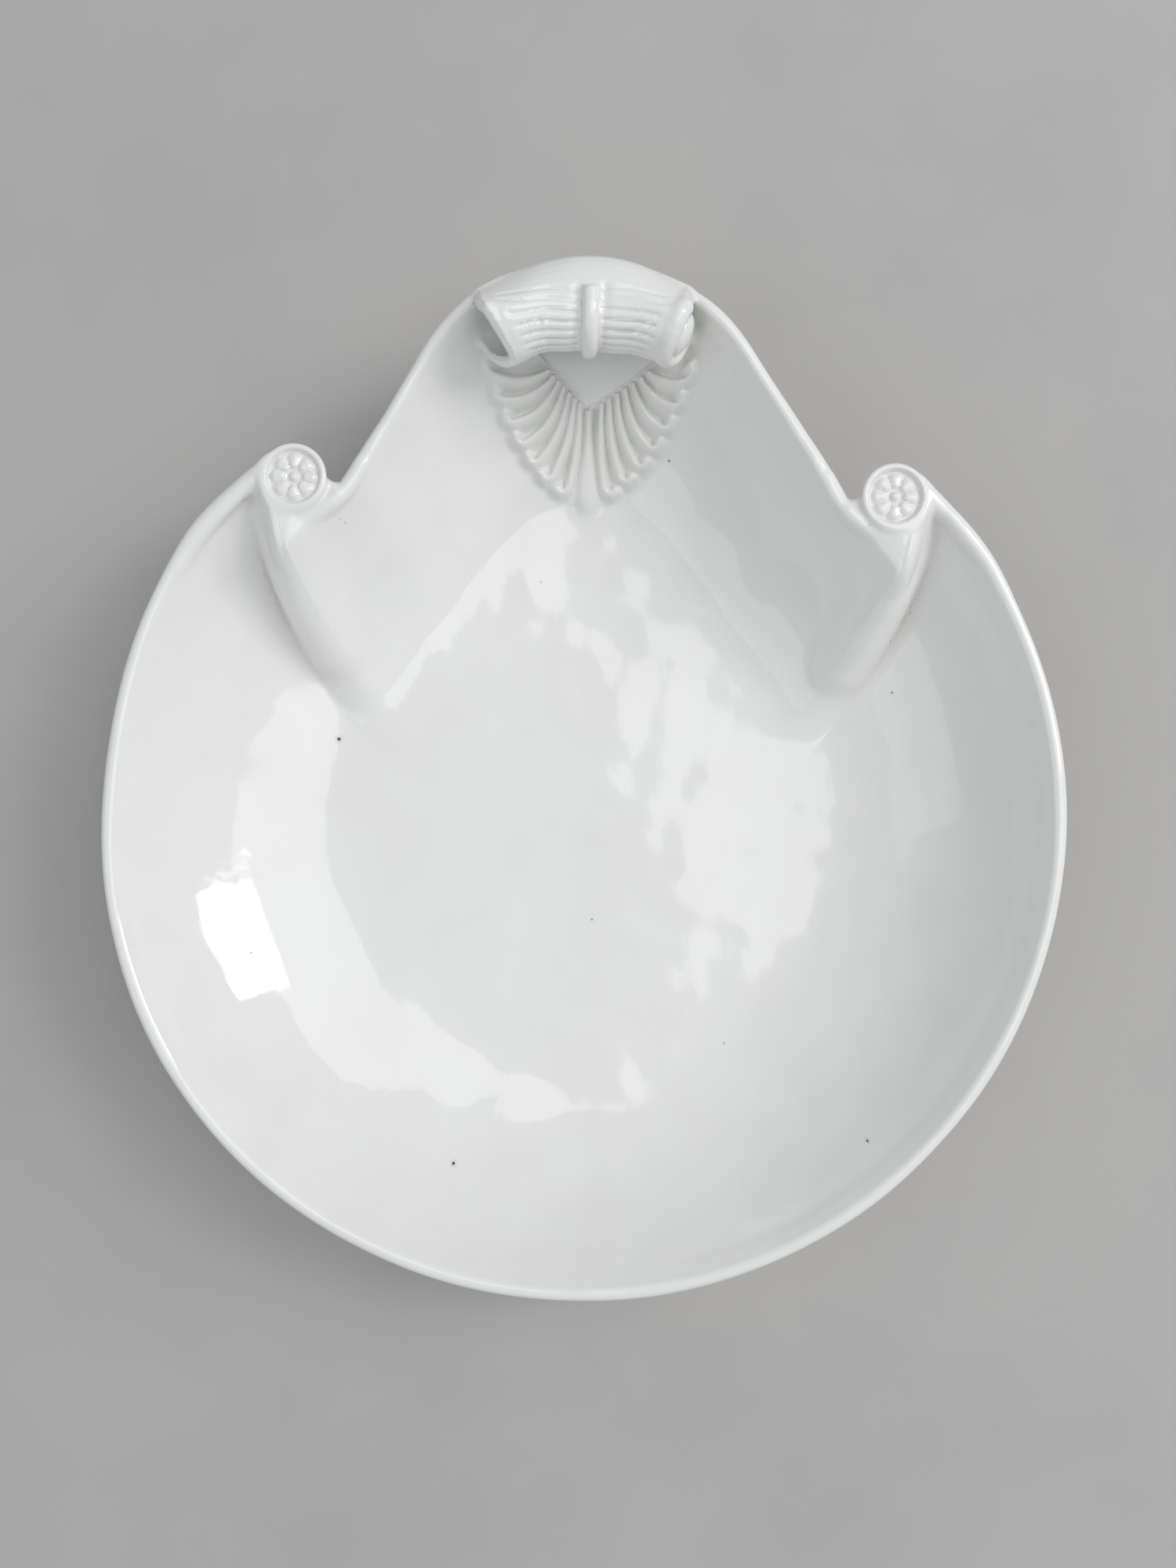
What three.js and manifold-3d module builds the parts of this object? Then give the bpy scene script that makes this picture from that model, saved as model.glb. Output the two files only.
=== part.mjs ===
import * as THREE from 'three';
import { mergeVertices } from 'three/addons/utils/BufferGeometryUtils.js';
import Module from 'manifold-3d';

// A shell-shaped porcelain dish: a round bowl whose back rises into a fan between two scrolled
// ears, and rolls over forward into a fluted scroll handle above a palmette.
// Millimetres, +Z up, handle toward +Y, standing on its foot ring at z = 0. The shapes are worked
// out about the bowl's centre, and the last group moves them so that the origin is under the
// middle of the whole outline. An azimuth is measured at the bowl's centre, from +Y toward +X.

const wasm = await Module();
wasm.setup();
const degree = Math.PI / 180;

// Bowl
const rimRadius = 120;            // outer edge of the round rim
const rimHeight = 45;             // top of the lip above the table
const wall = 4;                   // thickness of the shell, and so of its round lip
const floorHeight = 9;            // upper face of the floor above the table
const floorRadius = 72;           // where the wall starts to rise
const floorSoftness = 7;          // length over which the floor turns into the wall
const bowlCurl = 0.6;             // 0 is a straight wall, 1 one that steepens toward the rim
const seatGap = 0.3;              // clearance between two pieces that are luted together

// Foot ring
const footRadius = 62;            // middle of the ring that the dish stands on
const footWidth = 6;
const footTaper = 1.4;            // how much narrower each side is at the table

// Fan: the peaked back wall between the ears
const hoodRadius = 49.3;          // round top of the fan's outline, seen from above
const hoodBack = 135.5;           // rearmost point of the dish, from the bowl's centre
const flankAngle = 32.3 * degree; // slope of the two straight sides of the outline
const fanLean = 3.4;                // how far the fan leans to the left on its way back
const leanStart = 78;             // distance forward from which it leans
const leanEnd = 125;              // and where the whole lean is reached
const fanRimHeight = 50;          // top of the fan's wall where the handle starts
const shoulderRise = 2.5;         // how much higher its lip runs beside the handle
const shoulderAzimuth = 5 * degree; // and how far along the lip that fades
const earStep = 2.5;              // how far the fan's lip ends below the ear's ring
const lipStep = 1;                // how far the bowl's lip ends below the ear's ring
const lipClimb = 20 * degree;     // over which the bowl's lip climbs to the ear
const seatInset = 1.2;            // how much farther in the wall ends below the handle
const fanFloorRadius = 64;        // where the cheeks beside the palmette start to rise
const valleyDepth = 22;           // how much farther out the floor runs below the palmette
const valleyAzimuth = 26 * degree; // how far to each side that reaches
const fanCurl = 0.42;
const foldRimAzimuth = 46.8 * degree;   // the fold between bowl and fan, at the rim
const foldFloorAzimuth = 66 * degree;   // and at the floor
const foldWidth = 13.5;           // across the fold, from its valley to its crest
const foldCrest = 1.6;            // how far the fold's crest stands over the fan beside it
const notchAzimuth = 36.5 * degree; // where the fan's flank ends beside the ear
const earOuterAzimuth = 43.5 * degree; // where the bowl's rim leaves the ear
const rimJoin = 7 * degree;       // over which the outline runs from the ear into the round rim

// Ears: the rolled ends of the fold, each closed by a rosette
const earRadius = 8.5;
const earAcross = 73.7;           // from the middle plane to an ear's axis
const earForward = 81.2;          // from the bowl's centre to an ear's axis
const earHeight = 49;             // top of the ring round the rosette
const earRing = 1.8;              // width of that ring
const earRecess = 1.4;            // depth of the dish inside the ring
const earDrop = 27;               // how far down the wall the scroll runs
const earTipRadius = 3.4;         // of the scroll at its lower end
const earTipLift = 1;             // how far the tip's middle lies over the wall's middle
const earNeck = 0.9;              // how much thinner the scroll is just below its ring
const rosettePetals = 8;
const rosetteHeight = 1.5;

// Handle: a sheet that rolls over forward, between two collars
const handleOffset = -2.3;        // the handle stands a little left of the middle, as modelled by hand
const rollFromBack = 14.6;        // from the hood's rearmost point forward to the roll's axis
const rollRise = 1;               // the roll's axis above the top of the fan's wall
const rollRadius = 9.2;           // outside of the roll at its top
const rollPitch = 4.4;            // how much the radius shrinks in one turn
const rollTurn = 345 * degree;    // how far the sheet rolls on from the top
const rollSheet = 3.2;            // thickness of the rolled sheet
const rollEdge = 2;               // its thickness at the inner edge
const handleWidth = 51.6;         // over both collars
const collarRadius = 1.9;         // of the round lip that runs on round each end
const leftFlare = 0.19;           // how much wider the roll is at its left end than at its waist
const rightFlare = 0.14;          // and at its right end
const fluteCount = 9;
const fluteDepth = 0.65;
const fluteArc = 150 * degree;    // how much of the roll is fluted
const bandWidth = 4;
const bandRise = 1.7;
const flutePoints = 3;            // points across one flute
const tailPoints = 7;             // points up the hood's back, from its seat to the roll's top
const eyeDepth = 2.4;             // thickness of the plug that closes the right-hand end

// Palmette on the wall below the handle
const palmetteWidth = 51;
const palmetteUnderRoll = 5.6;    // its upper edge, in front of the roll's axis
const palmetteLength = 31;        // seen from above, from that edge to its tip
const palmetteBulge = 5.3;        // how far each side of the shield bows out
const sideLeaves = 7;             // on each side of the middle leaf
const middleLeafShare = 2.2;      // width of the middle leaf in side leaves
const leafRelief = 2.6;
const palmetteGround = 0.8;       // thickness between the leaves
const fieldWidth = 39;            // plain pointed field in the palmette's upper middle
const fieldLength = 8.4;          // of that field, seen from above
const fieldThickness = 1;

// Values that follow from the ones above
const midFloor = floorHeight - wall / 2;
const midEnd = rimRadius - wall / 2;
const hoodCentreY = hoodBack - hoodRadius;
const rollCentreY = hoodBack - rollFromBack;
const rollCentreZ = fanRimHeight + rollRise;
const palmetteTop = rollCentreY - palmetteUnderRoll;
const palmetteTip = palmetteTop - palmetteLength;
const fieldTip = palmetteTop - fieldLength;
const bowlY = (rimRadius - hoodBack) / 2;
const earAzimuth = Math.atan2(earAcross, earForward);
const earDistance = Math.hypot(earAcross, earForward);
const collarX = handleWidth / 2 - collarRadius;
const rollHalf = collarX - collarRadius - seatGap;
const handleAzimuth = Math.atan2(handleWidth / 2 + collarRadius, rollCentreY);

const endFlare = (side) => (side < 0 ? leftFlare : rightFlare);

// Small mathematics
const clamp01 = (t) => Math.min(1, Math.max(0, t));
const mix = (a, b, t) => a + (b - a) * t;
const smooth = (from, to, t) => {
  const s = clamp01((t - from) / (to - from));
  return s * s * (3 - 2 * s);
};
const softRamp = (t, softness) => (t + Math.hypot(t, softness)) / 2;

// Closed surface through rings of points, with a pole at each end
function loft(firstPole, rings, lastPole) {
  const positions = [firstPole, ...rings.flat(), lastPole].flatMap((p) => [p.x, p.y, p.z]);
  const sides = rings[0].length;
  const last = rings.length * sides + 1;
  const at = (ring, side) => 1 + ring * sides + (side % sides);
  const index = [];
  for (let side = 0; side < sides; side++) {
    index.push(0, at(0, side), at(0, side + 1));
    for (let ring = 0; ring + 1 < rings.length; ring++) {
      index.push(at(ring, side), at(ring + 1, side), at(ring + 1, side + 1));
      index.push(at(ring, side), at(ring + 1, side + 1), at(ring, side + 1));
    }
    index.push(last, at(rings.length - 1, side + 1), at(rings.length - 1, side));
  }
  return outward(positions, index);
}

// Closed slab between two grids of points with the same rows and columns
function slab(upper, lower) {
  const rows = upper.length;
  const columns = upper[0].length;
  const positions = [...upper.flat(), ...lower.flat()].flatMap((p) => [p.x, p.y, p.z]);
  const at = (layer, row, column) => (layer * rows + row) * columns + column;
  const index = [];
  const quad = (a, b, c, d) => index.push(a, b, c, a, c, d);
  for (let row = 0; row + 1 < rows; row++) {
    for (let column = 0; column + 1 < columns; column++) {
      const [next, beside] = [row + 1, column + 1];
      quad(at(0, row, column), at(0, row, beside), at(0, next, beside), at(0, next, column));
      quad(at(1, row, column), at(1, next, column), at(1, next, beside), at(1, row, beside));
    }
    const end = columns - 1;
    quad(at(0, row, 0), at(0, row + 1, 0), at(1, row + 1, 0), at(1, row, 0));
    quad(at(0, row, end), at(1, row, end), at(1, row + 1, end), at(0, row + 1, end));
  }
  for (let column = 0; column + 1 < columns; column++) {
    const end = rows - 1;
    quad(at(0, 0, column), at(1, 0, column), at(1, 0, column + 1), at(0, 0, column + 1));
    quad(at(0, end, column), at(0, end, column + 1), at(1, end, column + 1), at(1, end, column));
  }
  return outward(positions, index);
}

// Closed ring through closed sections, each the same number of points
function hoop(sections) {
  const positions = sections.flat().flatMap((p) => [p.x, p.y, p.z]);
  const sides = sections[0].length;
  const at = (section, side) => (section % sections.length) * sides + (side % sides);
  const index = [];
  for (let section = 0; section < sections.length; section++) {
    for (let side = 0; side < sides; side++) {
      index.push(at(section, side), at(section + 1, side), at(section + 1, side + 1));
      index.push(at(section, side), at(section + 1, side + 1), at(section, side + 1));
    }
  }
  return outward(positions, index);
}

// Geometry whose faces point outward, whichever way round its rings ran
function outward(positions, index) {
  let volume = 0;
  const corner = [0, 1, 2].map(() => new THREE.Vector3());
  for (let i = 0; i < index.length; i += 3) {
    corner.forEach((v, k) => v.fromArray(positions, 3 * index[i + k]));
    volume += corner[0].dot(corner[1].cross(corner[2]));
  }
  if (volume < 0) index.reverse();
  const geometry = new THREE.BufferGeometry();
  geometry.setAttribute('position', new THREE.Float32BufferAttribute(positions, 3));
  geometry.setIndex(index);
  geometry.computeVertexNormals();
  return geometry;
}

function toSolid(geometry) {
  const bare = geometry.clone();
  bare.deleteAttribute('normal');
  bare.deleteAttribute('uv');
  const merged = mergeVertices(bare, 1e-4);
  const vertProperties = new Float32Array(merged.attributes.position.array);
  const triVerts = new Uint32Array(merged.index.array);
  return new wasm.Manifold(new wasm.Mesh({ numProp: 3, vertProperties, triVerts }));
}

// The largest body of a solid, without the slivers that a cut leaves beside it
function toGeometry(solid) {
  const [body] = solid.decompose().sort((a, b) => b.volume() - a.volume());
  const mesh = body.getMesh();
  const geometry = new THREE.BufferGeometry();
  const positions = new Float32Array(mesh.vertProperties);
  geometry.setAttribute('position', new THREE.BufferAttribute(positions, 3));
  geometry.setIndex(new THREE.BufferAttribute(new Uint32Array(mesh.triVerts), 1));
  geometry.computeVertexNormals();
  return geometry;
}

// Tube of changing radius along a list of points, round at both ends
function taperedTube(points, radii, sides) {
  const curve = new THREE.CatmullRomCurve3(points);
  const rings = [];
  const radiusAt = (t) => {
    const place = t * (radii.length - 1);
    const k = Math.min(Math.floor(place), radii.length - 2);
    return mix(radii[k], radii[k + 1], place - k);
  };
  const steps = 2 * (points.length - 1);
  const side = new THREE.Vector3();
  const up = new THREE.Vector3();
  const reference = new THREE.Vector3(1, 0, 0);
  const ringAt = (centre, tangent, radius) => {
    side.crossVectors(tangent, reference).normalize();
    up.crossVectors(side, tangent).normalize();
    return Array.from({ length: sides }, (_, i) => {
      const turn = 2 * Math.PI * i / sides;
      return centre.clone().addScaledVector(side, radius * Math.cos(turn))
        .addScaledVector(up, radius * Math.sin(turn));
    });
  };
  const capAngles = [30, 60].map((a) => a * degree);
  const start = curve.getPoint(0);
  const startTangent = curve.getTangent(0);
  const finish = curve.getPoint(1);
  const finishTangent = curve.getTangent(1);
  for (const angle of capAngles) {
    const centre = start.clone().addScaledVector(startTangent, -radii[0] * Math.cos(angle));
    rings.push(ringAt(centre, startTangent, radii[0] * Math.sin(angle)));
  }
  for (let i = 0; i <= steps; i++) {
    rings.push(ringAt(curve.getPoint(i / steps), curve.getTangent(i / steps), radiusAt(i / steps)));
  }
  const endRadius = radii[radii.length - 1];
  for (const angle of [...capAngles].reverse()) {
    const centre = finish.clone().addScaledVector(finishTangent, endRadius * Math.cos(angle));
    rings.push(ringAt(centre, finishTangent, endRadius * Math.sin(angle)));
  }
  const firstPole = start.clone().addScaledVector(startTangent, -radii[0]);
  const lastPole = finish.clone().addScaledVector(finishTangent, endRadius);
  return loft(firstPole, rings, lastPole);
}

// Outline of the dish seen from above: the fan's arc and straight flanks, then the round rim
function fanOutline(azimuth) {
  const a = Math.abs(azimuth);
  const tangentAzimuth = Math.atan2(
    hoodRadius * Math.cos(flankAngle), hoodCentreY + hoodRadius * Math.sin(flankAngle));
  if (a < tangentAzimuth) {
    const across = hoodCentreY * Math.sin(a);
    return hoodCentreY * Math.cos(a) + Math.sqrt(hoodRadius ** 2 - across ** 2);
  }
  const flankDistance = hoodCentreY * Math.sin(flankAngle) + hoodRadius;
  return flankDistance / Math.sin(a + flankAngle);
}

// The azimuth at which an upright fan would have the point that the leaning fan has here
function leaning(azimuth) {
  const distance = fanOutline(Math.min(Math.abs(azimuth), notchAzimuth));
  const forward = distance * Math.cos(azimuth);
  return azimuth + fanLean * smooth(leanStart, leanEnd, forward) * Math.cos(azimuth) / distance;
}

function outline(azimuth) {
  const a = Math.abs(leaning(azimuth));
  const earOuter = earDistance + earRadius;
  const fan = fanOutline(Math.min(a, earOuterAzimuth));
  if (a < earOuterAzimuth) return mix(fan, earOuter, smooth(notchAzimuth, earOuterAzimuth, a));
  return mix(earOuter, rimRadius, smooth(earOuterAzimuth, earOuterAzimuth + rimJoin, a));
}

// 1 where the fan's wall carries the handle, 0 on the free lip
const underHandle = (azimuth) => 1 - smooth(handleAzimuth, handleAzimuth + 3 * degree, Math.abs(azimuth));

// Where the middle of the shell's thickness ends, below the lip or the handle
const shellEnd = (azimuth) => outline(azimuth) - wall / 2 - seatInset * underHandle(azimuth);

function wallRise(t, softness, curl) {
  const rise = softRamp(t, softness) / softRamp(1, softness);
  return (1 - curl) * rise + curl * rise ** 3;
}

// Top of the bowl's lip: it climbs to the ears
function rimTop(azimuth) {
  const nearEar = 1 - smooth(earOuterAzimuth, earOuterAzimuth + lipClimb, Math.abs(azimuth));
  return mix(rimHeight, earHeight - lipStep, nearEar);
}

// Top of the fan's lip: shoulders beside the handle, then down to the ears
function fanTop(azimuth) {
  const a = Math.abs(azimuth);
  const shoulder = shoulderRise * Math.exp(-(((a - handleAzimuth) / shoulderAzimuth) ** 2));
  return mix(fanRimHeight, earHeight - earStep, smooth(handleAzimuth, notchAzimuth, a)) + shoulder;
}

function bowlMid(r, azimuth) {
  const run = midEnd - floorRadius;
  const top = rimTop(azimuth) - wall / 2;
  return midFloor + (top - midFloor) * wallRise((r - floorRadius) / run, floorSoftness / run, bowlCurl);
}

function fanMid(r, azimuth) {
  const a = Math.abs(azimuth);
  const start = fanFloorRadius + valleyDepth * Math.exp(-((a / valleyAzimuth) ** 2));
  const end = mix(shellEnd(Math.min(a, notchAzimuth)), earDistance, smooth(notchAzimuth, earAzimuth, a));
  const run = end - start;
  const t = Math.min((r - start) / run, 1);
  return midFloor + (fanTop(azimuth) - wall / 2 - midFloor) * wallRise(t, floorSoftness / run, fanCurl);
}

// How far inside the fan a point is, across the fold, in millimetres
function insideFold(r, azimuth) {
  const along = (r - floorRadius) / (midEnd - floorRadius);
  return (mix(foldFloorAzimuth, foldRimAzimuth, along) - Math.abs(azimuth)) * r;
}

function shellMid(r, azimuth) {
  const inside = insideFold(r, azimuth);
  const inFan = smooth(-0.15 * foldWidth, 0.85 * foldWidth, inside);
  const crest = foldCrest * Math.exp(-(((inside - 0.9 * foldWidth) / (0.7 * foldWidth)) ** 2));
  return mix(bowlMid(r, azimuth), fanMid(r, azimuth), inFan) + crest * smooth(floorRadius, midEnd, r);
}

const onRay = (r, azimuth, z) => new THREE.Vector3(r * Math.sin(azimuth), r * Math.cos(azimuth), z);

// Unit vector across the shell, toward its inside
function shellNormal(r, azimuth) {
  const step = 0.5;
  const slopeOut = (shellMid(r + step, azimuth) - shellMid(r - step, azimuth)) / (2 * step);
  const turn = step / Math.max(r, step);
  const round = 2 * turn * Math.max(r, step);
  const slopeRound = (shellMid(r, azimuth + turn) - shellMid(r, azimuth - turn)) / round;
  const outX = Math.sin(azimuth);
  const outY = Math.cos(azimuth);
  return new THREE.Vector3(
    -slopeOut * outX - slopeRound * outY, -slopeOut * outY + slopeRound * outX, 1).normalize();
}

// Point at a height over the middle of the shell, measured across it
function offShell(r, azimuth, offset) {
  return onRay(r, azimuth, shellMid(r, azimuth)).addScaledVector(shellNormal(r, azimuth), offset);
}

// Azimuths of the shell's sections, closer together over the fan and its folds
function sectionAzimuths() {
  const fanHalf = foldFloorAzimuth + 6 * degree;
  const fanSteps = 78;
  const bowlSteps = 32;
  const fan = Array.from({ length: fanSteps }, (_, i) => mix(-fanHalf, fanHalf, i / fanSteps));
  const rest = 2 * Math.PI - 2 * fanHalf;
  const bowl = Array.from({ length: bowlSteps }, (_, i) => fanHalf + rest * i / bowlSteps);
  return [...fan, ...bowl].map((a) => (a > Math.PI ? a - 2 * Math.PI : a));
}

// The bowl and fan as one shell. Grown, it is the space that other pieces keep clear of.
function shellGeometry(grown) {
  const half = wall / 2 + grown;
  const azimuths = sectionAzimuths();
  const innerShares = [0.36, 0.46, 0.53, 0.6, 0.67, 0.74, 0.81, 0.88, 0.94, 1];
  const outerShares = [1, 0.9, 0.8, 0.71, 0.62, 0.53, 0.42];
  const lipTurns = [45, 90, 135].map((a) => a * degree);
  const ring = (share, offset) => azimuths.map((a) => offShell(share * shellEnd(a), a, offset));
  const lipRing = (turn) => azimuths.map((a) => {
    const normal = shellNormal(shellEnd(a), a);
    const out = new THREE.Vector3(Math.sin(a), Math.cos(a), 0);
    const along = out.addScaledVector(normal, -out.dot(normal)).normalize();
    const round = mix(1, 0.02, underHandle(a));
    return onRay(shellEnd(a), a, shellMid(shellEnd(a), a))
      .addScaledVector(normal, half * Math.cos(turn))
      .addScaledVector(along, half * Math.sin(turn) * round + grown * (1 - round));
  });
  const rings = [
    ...innerShares.map((share) => ring(share, half)),
    ...lipTurns.map(lipRing),
    ...outerShares.map((share) => ring(share, -half)),
  ];
  return loft(offShell(0, 0, half), rings, offShell(0, 0, -half));
}

// Ring that the dish stands on, its upper face following the underside of the shell
function footGeometry() {
  const inner = footRadius - footWidth / 2;
  const outer = footRadius + footWidth / 2;
  const round = 0.6;
  const sections = 60;
  const rings = Array.from({ length: sections }, (_, i) => {
    const azimuth = 2 * Math.PI * i / sections;
    const under = (r) => offShell(r, azimuth, -wall / 2 - seatGap);
    return [
      under(inner), under(footRadius), under(outer),
      onRay(outer - footTaper, azimuth, round), onRay(outer - footTaper - round, azimuth, 0),
      onRay(inner + footTaper + round, azimuth, 0), onRay(inner + footTaper, azimuth, round),
    ];
  });
  return hoop(rings);
}

// Line down the middle of a right-hand ear's scroll, from its top to its tip in the fold
function earLine() {
  const top = new THREE.Vector3(earAcross, earForward, earHeight - earRecess);
  const foldPoint = (z) => {
    let r = midEnd;
    const foldAt = (radius) => mix(
      foldFloorAzimuth, foldRimAzimuth, (radius - floorRadius) / (midEnd - floorRadius));
    const azimuthAt = (radius) => foldAt(radius) - 0.6 * foldWidth / radius;
    while (shellMid(r, azimuthAt(r)) > z && r > floorRadius) r -= 0.5;
    return onRay(r, azimuthAt(r), z);
  };
  const drop = (share) => earHeight - earDrop * share;
  const middle = foldPoint(drop(0.5) - earRadius * 0.35).lerp(top, 0.12);
  middle.z = drop(0.5);
  const tip = foldPoint(drop(1));
  tip.z = drop(1) + earTipLift;
  return new THREE.QuadraticBezierCurve3(top, middle, tip);
}

// Ear scroll: a leaning, tapering column with a ringed dish on top for its rosette
function earGeometry(grown) {
  const sides = 22;
  const line = earLine();
  const ringAt = (centre, radius) => Array.from({ length: sides }, (_, i) => {
    const turn = 2 * Math.PI * i / sides;
    const across = centre.x + radius * Math.cos(turn);
    return new THREE.Vector3(across, centre.y + radius * Math.sin(turn), centre.z);
  });
  const top = line.getPoint(0);
  const lifted = (dz) => top.clone().setZ(top.z + dz);
  const recessRadius = earRadius - earRing;
  const rings = [];
  if (grown === 0) {
    rings.push(ringAt(lifted(0), recessRadius));
    rings.push(ringAt(lifted(earRecess * 0.75), recessRadius + 0.15 * earRing));
  }
  rings.push(ringAt(lifted(earRecess + grown), earRadius - 0.65 * earRing + grown));
  rings.push(ringAt(lifted(earRecess + grown), earRadius - 0.35 * earRing + grown));
  rings.push(ringAt(lifted(earRecess * 0.6), earRadius + grown));
  const steps = 8;
  for (let i = 0; i <= steps; i++) {
    const t = i / steps;
    const neck = earNeck * Math.sin(Math.PI * Math.min(1, 3.2 * t));
    const radius = mix(earRadius, earTipRadius, t ** 1.2) - neck;
    const centre = line.getPoint(t);
    centre.z -= 0.1 * earRadius * (1 - t);
    rings.push(ringAt(centre, radius + grown));
  }
  const tip = line.getPoint(1);
  const pole = tip.clone().setZ(tip.z - 0.7 * earTipRadius - grown);
  const topPole = grown === 0 ? lifted(0) : lifted(earRecess + grown);
  return loft(topPole, rings, pole);
}

// Rosette: lobed petals round a boss, lying in the ear's ringed dish
function rosetteGeometry() {
  const sides = 4 * rosettePetals;
  const radius = earRadius - earRing - seatGap;
  const floor = earHeight - earRecess + seatGap;
  const shares = [
    [0.14, 1], [0.26, 0.82], [0.34, 0.3], [0.55, 0.72], [0.78, 0.75], [0.93, 0.42], [1, 0.12]];
  const rings = shares.map(([share, height]) => Array.from({ length: sides }, (_, i) => {
    const turn = 2 * Math.PI * i / sides;
    const petal = Math.abs(Math.cos(rosettePetals * turn / 2));
    const isPetal = share > 0.3 ? 1 : 0;
    const r = radius * share * (1 - 0.1 * isPetal * share * (1 - petal));
    const z = floor + 0.15 + rosetteHeight * height * mix(1, 0.45 + 0.55 * petal, isPetal);
    return new THREE.Vector3(r * Math.cos(turn), r * Math.sin(turn), z);
  }));
  const base = rings[rings.length - 1].map((p) => p.clone().setZ(floor));
  const pole = new THREE.Vector3(0, 0, floor + rosetteHeight * 1.1);
  return loft(pole, [...rings, base], new THREE.Vector3(0, 0, floor));
}

// Turns from the top of the roll at which its sheet has points, close together over the flutes
function rollTurns() {
  const fluted = fluteCount * flutePoints;
  const plain = 9;
  return [
    ...Array.from({ length: fluted }, (_, i) => fluteArc * i / fluted),
    ...Array.from({ length: plain + 1 }, (_, i) => mix(fluteArc, rollTurn, i / plain)),
  ];
}

// Middle line of the handle's sheet at a distance x from the handle's middle: up from the fan's
// wall, back to the hood's outline, over the top and round into the roll
function sheetLine(x) {
  const worldX = x + handleOffset;
  const azimuth = Math.atan2(worldX, hoodBack);
  const flare = 1 + endFlare(x) * (Math.abs(x) / rollHalf) ** 3;
  const seatRadius = shellEnd(azimuth);
  const seat = onRay(seatRadius, azimuth, shellMid(seatRadius, azimuth));
  const normal = shellNormal(seatRadius, azimuth);
  const rise = new THREE.Vector2(normal.z, -normal.y).normalize();
  const start = new THREE.Vector2(seat.y, seat.z).addScaledVector(rise, seatGap + 0.04);
  const backY = hoodCentreY + Math.sqrt(hoodRadius ** 2 - (worldX + fanLean) ** 2) - rollSheet / 2;
  const back = new THREE.Vector2(backY, start.y + 4.5);
  const topRadius = (rollRadius - rollSheet / 2) * flare;
  const top = new THREE.Vector2(rollCentreY, rollCentreZ + topRadius);
  const lower = new THREE.CubicBezierCurve(
    start, start.clone().addScaledVector(rise, 1.8), new THREE.Vector2(backY, back.y - 2), back);
  const round = 0.5523;
  const upper = new THREE.CubicBezierCurve(
    back, new THREE.Vector2(backY, mix(back.y, top.y, round)),
    new THREE.Vector2(mix(top.x, backY, round), top.y), top);
  const line = [];
  const add = (point, thickness, flute) => line.push({ y: point.x, z: point.y, thickness, flute });
  const lowerPoints = 3;
  const upperPoints = tailPoints - lowerPoints;
  for (let i = 0; i < lowerPoints; i++) {
    add(lower.getPoint(i / lowerPoints), mix(wall, rollSheet, i / lowerPoints), 0);
  }
  for (let i = 0; i < upperPoints; i++) add(upper.getPoint(i / upperPoints), rollSheet, 0);
  for (const turn of rollTurns()) {
    const radius = topRadius - flare * rollPitch * turn / (2 * Math.PI);
    const angle = Math.PI / 2 + turn;
    const point = new THREE.Vector2(
      rollCentreY + radius * Math.cos(angle), rollCentreZ + radius * Math.sin(angle));
    const flute = turn <= fluteArc ? Math.abs(Math.sin(Math.PI * fluteCount * turn / fluteArc)) : 0;
    add(point, mix(rollSheet, rollEdge, clamp01(turn / rollTurn)), flute);
  }
  return line;
}

// Outer and inner faces of the rolled sheet at x, as rows of points
function sheetFaces(x, addOutside, addInside) {
  const line = sheetLine(x);
  const plain = smooth(bandWidth / 2, bandWidth / 2 + 1, Math.abs(x));
  const face = (sign, extra) => line.map((p, i) => {
    const before = line[Math.max(0, i - 1)];
    const after = line[Math.min(line.length - 1, i + 1)];
    const along = new THREE.Vector2(after.y - before.y, after.z - before.z).normalize();
    const across = new THREE.Vector2(along.y, -along.x);
    const offset = sign * p.thickness / 2 + extra(p, plain);
    return new THREE.Vector3(x, p.y + across.x * offset, p.z + across.y * offset);
  });
  return [face(1, addOutside), face(-1, addInside)];
}

function handleScrollGeometry() {
  const stations = [-1, -0.8, -0.5, -0.25].map((s) => s * rollHalf);
  const middle = [-bandWidth / 2 - 1, -bandWidth / 2, bandWidth / 2, bandWidth / 2 + 1];
  const all = [...stations, ...middle, ...stations.map((s) => -s).reverse()];
  const flutes = (p, plain) => fluteDepth * (p.flute - 1) * plain * (p.flute > 0 ? 1 : 0);
  const faces = all.map((x) => sheetFaces(x, flutes, () => 0));
  const sheet = slab(faces.map((f) => f[0]), faces.map((f) => f[1]));
  const kept = shellGeometry(seatGap).translate(-handleOffset, 0, 0);
  return toGeometry(toSolid(sheet).subtract(toSolid(kept)));
}

// Strap over the middle of the roll, from the top of the flutes to their lower end
function handleBandGeometry() {
  const shares = [-1, -0.7, 0, 0.7, 1];
  const faces = shares.map((share) => {
    const x = share * bandWidth / 2;
    const crown = bandRise * (0.35 + 0.65 * Math.sqrt(1 - 0.9 * share * share));
    const [outside] = sheetFaces(x, () => seatGap + crown, () => 0);
    const [seat] = sheetFaces(x, () => seatGap, () => 0);
    const from = tailPoints - 1;
    const to = tailPoints + fluteCount * flutePoints + 1;
    const ends = (row) => row.slice(from, to).filter((_, i) => i % 2 === 0);
    const upper = ends(outside);
    const lower = ends(seat);
    for (const end of [0, upper.length - 1]) upper[end].lerp(lower[end], 0.5);
    return [upper, lower];
  });
  return slab(faces.map((f) => f[0]), faces.map((f) => f[1]));
}

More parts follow.
